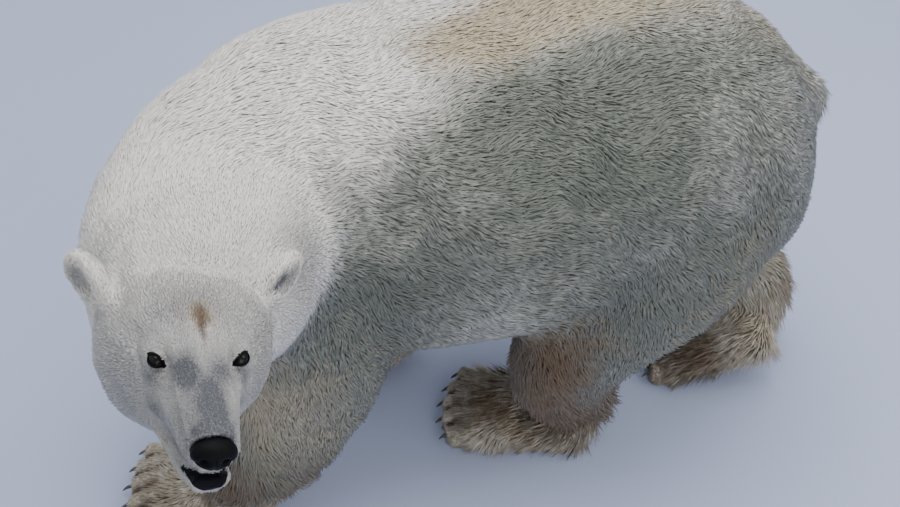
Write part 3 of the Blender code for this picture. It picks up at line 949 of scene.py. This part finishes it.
def make_lock(name, bends):
    """A lock of fur: a thin spindle, one unit long, that widens from its root and bends to its tip."""
    side_mid, side_tip, dip = bends
    corners = [
        (0, -0.04, -0.3),
        (-0.5 + side_mid, 0.36, 0.0),
        (0.5 + side_mid, 0.36, 0.0),
        (side_mid, 0.40, 0.62),
        (side_tip, 1.0, dip),
    ]
    faces = [(0, 2, 1), (0, 1, 3), (0, 3, 2), (1, 2, 4), (3, 1, 4), (2, 3, 4)]
    data = bpy.data.meshes.new(name)
    data.from_pydata(corners, [], faces)
    map_layer = data.uv_layers.new(name="lock_map")
    for loop in data.loops:
        x, y, _ = corners[loop.vertex_index]
        map_layer.data[loop.index].uv = (min(1, max(0, 0.5 + x * 0.6)), max(0, y))
    store(data, "along", [max(0, corner[1]) for corner in corners])
    data.shade_smooth()
    return bpy.data.objects.new(name, data)


def lock_kinds():
    """A collection of locks with different bends."""
    kinds = bpy.data.collections.new("lock_kinds")
    bends = ((0.0, 0.1, 0.1), (0.35, -0.45, 0.0), (-0.35, 0.45, 0.0), (0.2, 0.9, 0.3), (-0.2, -0.9, 0.3))
    for number, bend in enumerate(bends):
        kinds.objects.link(make_lock(f"lock_{number}", bend))
    return kinds


def coat_tree():
    """Geometry nodes that scatter locks on one patch of the skin, along its stored lie."""
    tree = bpy.data.node_groups.new("coat", "GeometryNodeTree")
    node = builder(tree)
    for name, kind, value in (
        ("Geometry", "Geometry", None),
        ("Locks", "Collection", None),
        ("Patch", "Int", 0),
        ("Seed", "Int", 0),
        ("Density", "Float", 1.0),
        ("Length", "Float", 1.0),
        ("Spread", "Float", 0.2),
        ("Wave", "Float", 0.9),
        ("Patch size", "Float", 0.003),
        ("Fur", "Material", None),
    ):
        socket = tree.interface.new_socket(name, in_out="INPUT", socket_type=f"NodeSocket{kind}")
        if value is not None:
            socket.default_value = value
    tree.interface.new_socket("Geometry", in_out="OUTPUT", socket_type="NodeSocketGeometry")

    def stored(name, kind="FLOAT"):
        made = node("GeometryNodeInputNamedAttribute", {"Name": name}, data_type=kind)
        return made.outputs["Attribute"]

    def chance(kind, low, high, seed_shift):
        made = node("FunctionNodeRandomValue", data_type=kind)
        sockets = [socket for socket in made.inputs if socket.enabled]
        sockets[0].default_value = low
        sockets[1].default_value = high
        seed = next(socket for socket in made.inputs if socket.name == "Seed")
        tree.links.new(maths(node, "ADD", given["Seed"], seed_shift), seed)
        return next(socket for socket in made.outputs if socket.enabled)

    given = node("NodeGroupInput").outputs
    same = node("FunctionNodeCompare", data_type="INT", operation="EQUAL")
    ints = [socket for socket in same.inputs if socket.enabled]
    tree.links.new(stored("patch", "INT"), ints[0])
    tree.links.new(given["Patch"], ints[1])
    scatter = node("GeometryNodeDistributePointsOnFaces", {
        "Mesh": given["Geometry"],
        "Selection": same.outputs[0],
        "Density": maths(node, "MULTIPLY", stored("lock_density"), given["Density"]),
        "Seed": given["Seed"],
    }, distribute_method="RANDOM")

    # Which way each lock points: the lie of the coat, swung by its clump and by chance, and lifted.
    clump = node("ShaderNodeTexNoise", {"Scale": 24.0, "Detail": 1.0}, noise_dimensions="3D")
    wave = vectors(node, "SUBTRACT", clump.outputs["Color"], (0.5, 0.5, 0.5))
    wave = vectors(node, "SCALE", wave, scale=maths(node, "MULTIPLY", given["Wave"], 2.0))
    stray = chance("FLOAT_VECTOR", (-1, -1, -1), (1, 1, 1), 2)
    stray = vectors(node, "SCALE", stray, scale=given["Spread"])
    stray = vectors(node, "SCALE", vectors(node, "ADD", wave, stray), scale=stored("lock_stray"))
    way = vectors(node, "ADD", stored("lie", "FLOAT_VECTOR"), stray)
    up = stored("up", "FLOAT_VECTOR")
    dot = node("ShaderNodeVectorMath", {0: way, 1: up}, operation="DOT_PRODUCT").outputs["Value"]
    flat = vectors(node, "SUBTRACT", way, vectors(node, "SCALE", up, scale=dot))
    flat = vectors(node, "NORMALIZE", flat)
    clump_lift = maths(node, "MULTIPLY_ADD", clump.outputs[0], 1.6, 0.2)
    lift = maths(node, "MULTIPLY", stored("lock_lift"), chance("FLOAT", 0.45, 1.55, 1))
    rise = vectors(node, "SCALE", up, scale=maths(node, "MULTIPLY", lift, clump_lift))
    way = vectors(node, "NORMALIZE", vectors(node, "ADD", flat, rise))
    turn = node("FunctionNodeAxesToRotation", {0: way, 1: up}, primary_axis="Y", secondary_axis="Z")

    length = maths(node, "MULTIPLY", stored("lock_length"), chance("FLOAT", 0.70, 1.30, 3))
    width = maths(node, "MULTIPLY", stored("lock_width"), chance("FLOAT", 0.65, 1.25, 4))
    size = node("ShaderNodeCombineXYZ", {
        "X": width,
        "Y": maths(node, "MULTIPLY", length, given["Length"]),
        "Z": maths(node, "MULTIPLY", width, 0.50),
    })
    shapes = node("GeometryNodeCollectionInfo", {
        "Collection": given["Locks"], "Separate Children": True, "Reset Children": True
    })
    place = node("GeometryNodeInstanceOnPoints", {
        "Points": scatter.outputs["Points"],
        "Instance": shapes.outputs[0],
        "Pick Instance": True,
        "Instance Index": chance("INT", 0, 4, 5),
        "Rotation": turn.outputs[0],
        "Scale": size.outputs[0],
    })
    tone = node("GeometryNodeStoreNamedAttribute", {
        "Geometry": place.outputs[0], "Name": "tone"
    }, data_type="FLOAT", domain="INSTANCE")
    feed(tone, {"Value": chance("FLOAT", 0.0, 1.0, 6)})
    real = node("GeometryNodeRealizeInstances", {0: tone.outputs[0]})

    # Each lock's small patch in the map, at its root's place.
    local = vectors(node, "SUBTRACT", stored("lock_map", "FLOAT_VECTOR"), (0.5, 0.5, 0.0))
    local = vectors(node, "SCALE", local, scale=given["Patch size"])
    spot = vectors(node, "ADD", stored("skin_map", "FLOAT_VECTOR"), local)
    chart = node("GeometryNodeStoreNamedAttribute", {
        "Geometry": real.outputs[0], "Name": "OFBake"
    }, data_type="FLOAT2", domain="CORNER")
    feed(chart, {"Value": spot})

    # No tip goes into the floor.
    where = node("ShaderNodeSeparateXYZ", {0: node("GeometryNodeInputPosition").outputs[0]}).outputs
    height = maths(node, "MAXIMUM", where["Z"], COAT_FOOT)
    lifted = node("ShaderNodeCombineXYZ", {"X": where["X"], "Y": where["Y"], "Z": height})
    last = node("GeometryNodeSetPosition", {"Geometry": chart.outputs[0], "Position": lifted.outputs[0]})
    measures = [f"lock_{name}" for name in ("length", "width", "lift", "stray", "density")]
    for name in ("lie", *measures, "patch", "skin_map", "lock_map", "bare"):
        last = node("GeometryNodeRemoveAttribute", {0: last.outputs[0], "Name": name})
    finish = node("GeometryNodeSetMaterial", {"Geometry": last.outputs[0], "Material": given["Fur"]})
    node("NodeGroupOutput", {0: finish.outputs[0]})
    return tree


def grow(skin, tree, locks, name, patch, sizes, fur):
    """One piece of the coat, as a plain mesh."""
    piece = add(name, skin.data.copy())
    growth = piece.modifiers.new("coat", "NODES")
    growth.node_group = tree
    values = {
        "Locks": locks,
        "Patch": patch,
        "Seed": sizes.seed * 100 + patch * 10,
        "Density": sizes.coat_density,
        "Length": sizes.coat_length,
        "Spread": sizes.coat_spread,
        "Wave": sizes.coat_wave,
        "Fur": fur,
    }
    for socket in tree.interface.items_tree:
        if socket.in_out == "INPUT" and socket.name in values:
            growth[socket.identifier] = values[socket.name]
    settle(piece)
    return piece


# ---------------------------------------------------------------- materials


def tinted(colour, share):
    """A colour made lighter or darker."""
    return tuple(share * part for part in colour)


def noise(node, where, scale, detail=2.0):
    return node("ShaderNodeTexNoise", {"Vector": where, "Scale": scale, "Detail": detail})


def object_place(node):
    return node("ShaderNodeTexCoord").outputs["Object"]


def ranged(node, value, low, high):
    """A value from 0 to 1, stretched from low to high."""
    return node("ShaderNodeMapRange", {"Value": value, "To Min": low, "To Max": high}).outputs[0]


def smooth_edge(node, value, low, high):
    inputs = {"Value": value, "From Min": low, "From Max": high}
    return node("ShaderNodeMapRange", inputs, interpolation_type="SMOOTHSTEP").outputs[0]


def mix_colour(node, factor, first, second, blend="MIX"):
    """A colour mix; first, second and factor are sockets or values."""
    inputs = {0: factor}
    for index, value in ((6, first), (7, second)):
        inputs[index] = value if isinstance(value, bpy.types.NodeSocket) else (*value[:3], 1.0)
    return node("ShaderNodeMix", inputs, data_type="RGBA", blend_type=blend).outputs[2]


def markings_group(colours):
    """The coat's colour from its masks, the same for skin and fur, with the painted shade that the damp, rust
    and thin fur masks carry.
    """
    tree = bpy.data.node_groups.new("coat_colour", "ShaderNodeTree")
    grain = tree.interface.new_socket("Grain", in_out="INPUT", socket_type="NodeSocketFloat")
    grain.default_value = 60.0
    tree.interface.new_socket("Colour", in_out="OUTPUT", socket_type="NodeSocketColor")
    node = builder(tree)
    given = node("NodeGroupInput").outputs
    masks = node("ShaderNodeAttribute", attribute_name="marks").outputs
    parts = node("ShaderNodeSeparateColor", {0: masks["Color"]}).outputs
    where = object_place(node)
    fine = noise(node, where, given["Grain"], 3.0)
    broad = noise(node, where, 7.0, 4.0)
    speck = noise(node, where, 330.0, 2.0)

    def broken(mask, low, high):
        """A mask with its edge broken up by both noises, and nothing where the mask is nothing."""
        both = maths(node, "ADD", fine.outputs[0], broad.outputs[0])
        shift = maths(node, "MULTIPLY_ADD", both, 0.55, -0.55)
        rise = smooth_edge(node, maths(node, "ADD", mask, shift), low, high)
        fade = node("ShaderNodeMapRange", {"Value": mask, "From Max": 0.12}).outputs[0]
        return maths(node, "MULTIPLY", rise, fade)

    # Damp fur, whose colour also holds painted shade on the flank.
    colour = mix_colour(node, broken(parts["Red"], 0.0, 0.95), colours.cream, colours.damp_and_shade)
    colour = mix_colour(node, broken(parts["Green"], 0.05, 0.9), colour, colours.yellow)
    # Rust, which also carries painted shadow at the right hind heel and in the toe clefts.
    colour = mix_colour(node, broken(parts["Blue"], 0.1, 0.85), colour, colours.rust_and_shade)
    # Thin fur over dark skin, and painted shade, as specks of the thin fur colour.
    dots = maths(node, "MULTIPLY_ADD", speck.outputs[0], 0.8, 0.6)
    dotted = maths(node, "MULTIPLY", dots, masks["Alpha"], use_clamp=True)
    colour = mix_colour(node, dotted, colour, colours.thin_fur_and_shade)
    node("NodeGroupOutput", {0: colour})
    return tree


def plain_material(name, colour, roughness, specular=0.5):
    """A material, its Principled shader, and a way to add nodes to it."""
    material = bpy.data.materials.new(name)
    material.use_nodes = True
    shader = feed(material.node_tree.nodes["Principled BSDF"], {
        "Base Color": (*colour[:3], 1.0), "Roughness": roughness, "Specular IOR Level": specular
    })
    return material, shader, builder(material.node_tree)


def fur_material(group):
    """Fur: the coat's colour, darker at the root as painted shade deep in the coat and lighter at the tip,
    with a tone for each lock.
    """
    material, shader, node = plain_material("fur", (0.7, 0.7, 0.7), 0.62, 0.25)
    base = node("ShaderNodeGroup", {}, node_tree=group)
    feed(base, {"Grain": 60.0})
    masks = node("ShaderNodeAttribute", attribute_name="marks").outputs["Color"]
    damp_and_shade = node("ShaderNodeSeparateColor", {0: masks}).outputs["Red"]

    def by_damp(name, clean, wet):
        """A stored value's range, from that of clean fur to that of damp fur."""
        value = node("ShaderNodeAttribute", attribute_name=name).outputs["Fac"]
        low, high = (ranged(node, damp_and_shade, dry, soaked) for dry, soaked in zip(clean, wet))
        return ranged(node, value, low, high)

    # Painted shade: each lock darker at its root, deep in the coat, and more so in damp fur.
    along = by_damp("along", (0.93, 1.03), (0.80, 1.10))
    tone = by_damp("tone", (0.97, 1.03), (0.90, 1.12))
    colour = vectors(node, "SCALE", base.outputs[0], scale=maths(node, "MULTIPLY", along, tone))
    up = node("ShaderNodeAttribute", attribute_name="up").outputs["Vector"]
    normal = node("ShaderNodeNewGeometry").outputs["Normal"]
    soft = vectors(node, "MULTIPLY_ADD", up, (1.5, 1.5, 1.5), normal)
    feed(shader, {
        "Base Color": colour,
        "Normal": vectors(node, "NORMALIZE", soft),
        "Sheen Weight": 0.15,
        "Sheen Roughness": 0.5,
    })
    return material


def skin_material(group, bare):
    """Skin: undercoat in the coat's colour, a little darker as painted shade under the locks, and black skin
    where no fur grows.
    """
    material, shader, node = plain_material("skin", (0.5, 0.5, 0.5), 0.8)
    base = node("ShaderNodeGroup", {}, node_tree=group)
    feed(base, {"Grain": 60.0})
    # Painted shade: the undercoat a little darker than the coat, as if shaded by the locks.
    dark = mix_colour(node, 1.0, base.outputs[0], (0.93, 0.92, 0.91), "MULTIPLY")
    mask = node("ShaderNodeAttribute", attribute_name="bare").outputs["Fac"]
    edge = smooth_edge(node, mask, 0.25, 0.65)
    hair = noise(node, object_place(node), 420.0, 4.0)
    raised = node("ShaderNodeBump", {"Strength": 0.6, "Distance": 0.0015, "Height": hair.outputs[0]})
    feed(shader, {
        "Base Color": mix_colour(node, edge, dark, bare),
        "Roughness": ranged(node, edge, 0.85, 0.38),
        "Specular IOR Level": ranged(node, edge, 0.3, 0.05),
        "Normal": raised.outputs[0],
    })
    return material


def leather_material(bare):
    """The nose's and lids' wet black skin, finely pebbled."""
    material, shader, node = plain_material("wet_skin", bare, 0.3, 0.07)
    cells = node("ShaderNodeTexVoronoi", {"Vector": object_place(node), "Scale": 650.0}).outputs["Distance"]
    raised = node("ShaderNodeBump", {"Strength": 0.5, "Distance": 0.0008, "Height": cells}, invert=True)
    feed(shader, {
        "Base Color": mix_colour(node, cells, tinted(bare, 0.2), (0.005, 0.005, 0.006)),
        "Roughness": ranged(node, cells, 0.30, 0.55),
        "Normal": raised.outputs[0],
    })
    return material


def eye_material(iris):
    """A dark wet eye: pupil, brown iris with rays, and a dark white of the eye."""
    material, shader, node = plain_material("eye", iris, 0.05, 0.05)
    rays = noise(node, object_place(node), 900.0, 3.0)
    brown = mix_colour(node, rays.outputs[0], tinted(iris, 0.45), tinted(iris, 1.9))
    out = node("ShaderNodeAttribute", attribute_name="from_pupil").outputs["Fac"]
    ramp = node("ShaderNodeValToRGB", {0: out})
    stops = ramp.color_ramp.elements
    stops[0].position, stops[0].color = 0.30, (0, 0, 0, 1)
    stops[1].position, stops[1].color = 0.38, (1, 1, 1, 1)
    stops.new(0.66).color = (1, 1, 1, 1)
    stops.new(0.78).color = (0.12, 0.12, 0.12, 1)
    feed(shader, {
        "Base Color": mix_colour(node, ramp.outputs[0], (0.002, 0.002, 0.002), brown),
        "Coat Weight": 0.40,
        "Coat Roughness": 0.03,
    })
    return material


def claw_material(horn):
    """Dark horn with streaks along the claw."""
    material, shader, node = plain_material("claw", horn, 0.3)
    streaks = noise(node, object_place(node), 260.0, 5.0).outputs[0]
    feed(shader, {
        "Base Color": mix_colour(node, streaks, tinted(horn, 0.4), (0.13, 0.10, 0.075)),
        "Roughness": ranged(node, streaks, 0.2, 0.5),
    })
    return material


def floor_material(colour):
    """A plain floor with a faint cloud of tone."""
    material, shader, node = plain_material("floor", colour, 0.9)
    cloud = noise(node, object_place(node), 1.5).outputs[0]
    feed(shader, {"Base Color": mix_colour(node, cloud, tinted(colour, 0.97), tinted(colour, 1.02))})
    return material


# ---------------------------------------------------------------- operators


class BEAR_OT_skin(bpy.types.Operator):
    """Grow one skin inside the solids, with the face's folds and lids"""

    bl_idname = "bear.skin"
    bl_label = "Skin"

    def execute(self, context):
        scene = context.scene
        skin = make_skin(scene.bear_sizes)
        group = markings_group(scene.bear_colours)
        skin.data.materials.append(skin_material(group, scene.bear_colours.bare))
        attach(skin, "root")
        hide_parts(*FLESH)
        return {"FINISHED"}


class BEAR_OT_coat(bpy.types.Operator):
    """Grow the coat's locks over the skin"""

    bl_idname = "bear.coat"
    bl_label = "Coat"

    def execute(self, context):
        sizes = context.scene.bear_sizes
        skin = bpy.data.objects["skin"]
        tree = coat_tree()
        locks = lock_kinds()
        fur = fur_material(bpy.data.node_groups["coat_colour"])
        patches = [(name, number) for number, (name, _) in enumerate(GROUPS)]
        patches += [(f"coat_trunk_{number + 1}", FIRST_TRUNK + number) for number in range(2 * TRUNK_SIDE)]
        for name, number in patches:
            piece = grow(skin, tree, locks, name, number, sizes, fur)
            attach(piece, "root")
        for kind in list(locks.objects):
            bpy.data.objects.remove(kind)
        bpy.data.collections.remove(locks)
        return {"FINISHED"}


class BEAR_OT_eyes(bpy.types.Operator):
    """Make the eyeballs and the black rims of their lids"""

    bl_idname = "bear.eyes"
    bl_label = "Eyes"

    def execute(self, context):
        scene = context.scene
        head = head_place()
        material = eye_material(scene.bear_colours.iris)
        wet = leather_material(scene.bear_colours.bare)
        for name, side in (("left", 1), ("right", -1)):
            gaze = Vector((GAZE.x * side, GAZE.y, GAZE.z))
            spot = Vector((side * EYE_SPOT.x, EYE_SPOT.y, EYE_SPOT.z)) + gaze * EYE_FORWARD
            turn = gaze.to_track_quat("Z", "Y").to_matrix().to_4x4()
            mesh = bmesh.new()
            radius = scene.bear_sizes.eye_radius
            bmesh.ops.create_uvsphere(mesh, u_segments=40, v_segments=28, radius=radius)
            tilt = [vert.co.normalized().angle(Vector((0, 0, 1))) for vert in mesh.verts]
            for vert, angle in zip(mesh.verts, tilt):
                vert.co *= 1 + 0.05 * max(0, 1 - angle / 0.7)
            mesh.transform(head @ Matrix.Translation(spot) @ turn)
            eye = add(f"eyeball_{name}", mesh)
            store(eye.data, "from_pupil", [angle / (math.pi / 2) for angle in tilt])
            eye.data.shade_smooth()
            eye.data.materials.append(material)
            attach(eye, "root")
            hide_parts(f"eye_{name}")
            self.rim(name, side, head, spot, wet)
        return {"FINISHED"}

    def rim(self, name, side, head, spot, wet):
        """A thin roll of black skin round the opening of the lids."""
        *_, along, up, gaze = lid_shape(np.zeros((1, 3)), side)
        rows = []
        for index in range(RIM_STEPS):
            angle = 2 * math.pi * index / RIM_STEPS
            wide, above, below = EYE_OPENING
            inner = max(0, -math.cos(angle))
            u = wide * math.cos(angle) * (1 + 0.14 * inner**3)
            pinch = 1 - 0.50 * abs(math.cos(angle)) ** 4
            v = (above if math.sin(angle) > 0 else below) * math.sin(angle) * pinch - 0.0012 * inner**3
            flat = min(math.hypot(u, v), LID_RADIUS * 0.98)
            rise = math.sqrt(LID_RADIUS**2 - flat**2)
            rows.append(Vector(along) * u + Vector(up) * v + Vector(gaze) * (rise + 0.0004))
        mesh = bmesh.new()
        rings = []
        for index, place in enumerate(rows):
            way = (rows[(index + 1) % RIM_STEPS] - rows[index - 1]).normalized()
            out = place.normalized()
            over = way.cross(out).normalized()
            size = 0.0009 + 0.0006 * abs(math.sin(2 * math.pi * index / RIM_STEPS))
            ring = []
            for side_of_roll in range(RIM_SIDES):
                angle = 2 * math.pi * side_of_roll / RIM_SIDES
                offset = (out * math.cos(angle) * 0.8 + over * math.sin(angle)) * size
                ring.append(mesh.verts.new(spot + place + offset))
            rings.append(ring)
        for index in range(RIM_STEPS):
            here, there = rings[index], rings[(index + 1) % RIM_STEPS]
            for place in range(RIM_SIDES):
                after = (place + 1) % RIM_SIDES
                mesh.faces.new((here[place], here[after], there[after], there[place]))
        bmesh.ops.recalc_face_normals(mesh, faces=mesh.faces)
        mesh.transform(head)
        lid = add(f"lid_rim_{name}", mesh)
        lid.data.shade_smooth()
        lid.data.materials.append(wet)
        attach(lid, "root")


class BEAR_OT_nose(bpy.types.Operator):
    """Make the nose pad with its nostrils and the groove below"""

    bl_idname = "bear.nose"
    bl_label = "Nose"

    def execute(self, context):
        head = head_place()
        mesh = bmesh.new()
        bmesh.ops.create_uvsphere(mesh, u_segments=64, v_segments=48, radius=1)
        mesh.transform(Matrix.Rotation(math.pi / 2, 4, "X"))
        for vert in mesh.verts:
            vert.co = nose_shape(vert.co)
        mesh.transform(head @ Matrix.Translation(NOSE_SPOT))
        bmesh.ops.recalc_face_normals(mesh, faces=mesh.faces)
        nose = add("nose_pad", mesh)
        nose.data.shade_smooth()
        nose.data.materials.append(bpy.data.materials["wet_skin"])
        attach(nose, "root")
        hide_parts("nose")
        return {"FINISHED"}


def nose_shape(point):
    """Moves a point of a unit ball, seen from its front, to its place on the nose pad."""
    x, y, z = point
    wide = 0.0328 * (1 - 0.22 * max(0, -z) ** 1.5 + 0.05 * max(0, z))
    place = Vector((x * wide, y * 0.021, z * 0.0235))
    for side in (1, -1):
        away = Vector(((place.x - side * 0.0150) / 0.0068, (place.z + 0.0055) / 0.0055))
        comma = Vector(((place.x - side * 0.0245) / 0.0085, (place.z + 0.0095) / 0.0030))
        hole = max(math.exp(-(away.length**2) * 1.2), 0.75 * math.exp(-(comma.length**2)))
        if y < 0.2:
            place.y += 0.010 * hole
    groove = math.exp(-((place.x / 0.0016) ** 2)) * (0.5 + 0.5 * max(-1, min(1, -place.z / 0.01)))
    if y < 0:
        place.y += 0.0026 * groove
    return place


class BEAR_OT_claws(bpy.types.Operator):
    """Make each foot's claws smooth and give them horn"""

    bl_idname = "bear.claws"
    bl_label = "Claws"

    def execute(self, context):
        material = claw_material(context.scene.bear_colours.horn)
        for foot in ("foreclaw_left", "foreclaw_right", "hindclaw_left", "hindclaw_right"):
            names = [f"{foot}_{toe}" for toe in range(1, 6)]
            claws = add(foot + "s", joined(names))
            round_off = claws.modifiers.new("round", "SUBSURF")
            round_off.levels = round_off.render_levels = 2
            settle(claws)
            claws.data.shade_smooth()
            claws.data.materials.clear()
            claws.data.materials.append(material)
            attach(claws, "root")
            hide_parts(*names)
        return {"FINISHED"}


def aimed(place, target):
    """The turn of a lamp or camera that looks from its place at a target."""
    return (Vector(target) - Vector(place)).to_track_quat("-Z", "Y").to_euler()


# Lamps: name, place, size, power and colour.
LAMPS = (
    ("key", (0.9, 2.6, 3.4), 2.6, 40, (1.0, 0.985, 0.96)),
    ("front", (0.4, -2.8, 3.4), 2.6, 8, (1.0, 0.985, 0.96)),
    ("top", (-0.6, 0.2, 4.4), 3.4, 134, (0.985, 0.985, 1.0)),
    ("fill", (3.6, 0.5, 1.4), 3.0, 40, (0.98, 0.99, 1.0)),
)
LAMP_TARGET = (0, 0, 0.6)
SKY = (0.86, 0.92, 1.0, 1)
SKY_STRENGTH = 0.72
CAMERA_PLACE = (1.6421, -0.3755, 2.751)
CAMERA_TARGET = (-0.2540, -0.0068, 0.45)
CAMERA_LENS = 58
FLOOR_SIZE = 30


class BEAR_OT_stage(bpy.types.Operator):
    """Set the floor, the soft lights and the camera"""

    bl_idname = "bear.stage"
    bl_label = "Stage"

    def execute(self, context):
        scene = context.scene
        mesh = bmesh.new()
        bmesh.ops.create_grid(mesh, x_segments=2, y_segments=2, size=FLOOR_SIZE)
        floor = add("floor", mesh)
        floor.data.materials.append(floor_material(scene.bear_colours.floor))

        world = bpy.data.worlds.new("studio")
        scene.world = world
        world.use_nodes = True
        sky = world.node_tree.nodes["Background"]
        feed(sky, {"Color": SKY, "Strength": SKY_STRENGTH})
        for name, place, size, power, colour in LAMPS:
            lamp = bpy.data.lights.new(name, "AREA")
            lamp.shape = "DISK"
            lamp.size = size
            lamp.energy = power
            lamp.color = colour
            made = bpy.data.objects.new(name, lamp)
            made.location = place
            made.rotation_euler = aimed(place, LAMP_TARGET)
            scene.collection.objects.link(made)

        lens = bpy.data.cameras.new("camera")
        lens.lens = CAMERA_LENS
        lens.sensor_width = 36
        lens.clip_end = 60
        camera = bpy.data.objects.new("camera", lens)
        camera.location = CAMERA_PLACE
        camera.rotation_euler = aimed(CAMERA_PLACE, CAMERA_TARGET)
        scene.collection.objects.link(camera)
        scene.camera = camera
        return {"FINISHED"}


class BEAR_PT_panel(bpy.types.Panel):
    """Lists the bear's pieces in the sidebar"""

    bl_idname = "BEAR_PT_panel"
    bl_label = "Polar bear"
    bl_space_type = "VIEW_3D"
    bl_region_type = "UI"
    bl_category = "Polar bear"

    def draw(self, context):
        scene = context.scene
        for group in (scene.bear_sizes, scene.bear_colours):
            for name in group.__annotations__:
                self.layout.prop(group, name)
        for operator in OPERATORS:
            self.layout.operator(operator.bl_idname)


OPERATORS = (BEAR_OT_skin, BEAR_OT_coat, BEAR_OT_eyes, BEAR_OT_nose, BEAR_OT_claws, BEAR_OT_stage)
CLASSES = (BearSizes, BearColours, *OPERATORS, BEAR_PT_panel)


def register():
    for made in CLASSES:
        bpy.utils.register_class(made)
    bpy.types.Scene.bear_sizes = PointerProperty(type=BearSizes)
    bpy.types.Scene.bear_colours = PointerProperty(type=BearColours)


def unregister():
    del bpy.types.Scene.bear_colours
    del bpy.types.Scene.bear_sizes
    for made in reversed(CLASSES):
        bpy.utils.unregister_class(made)


def main():
    register()
    bpy.ops.bear.skin()
    bpy.ops.bear.coat()
    bpy.ops.bear.eyes()
    bpy.ops.bear.nose()
    bpy.ops.bear.claws()
    bpy.ops.bear.stage()


if __name__ == "__main__":
    main()
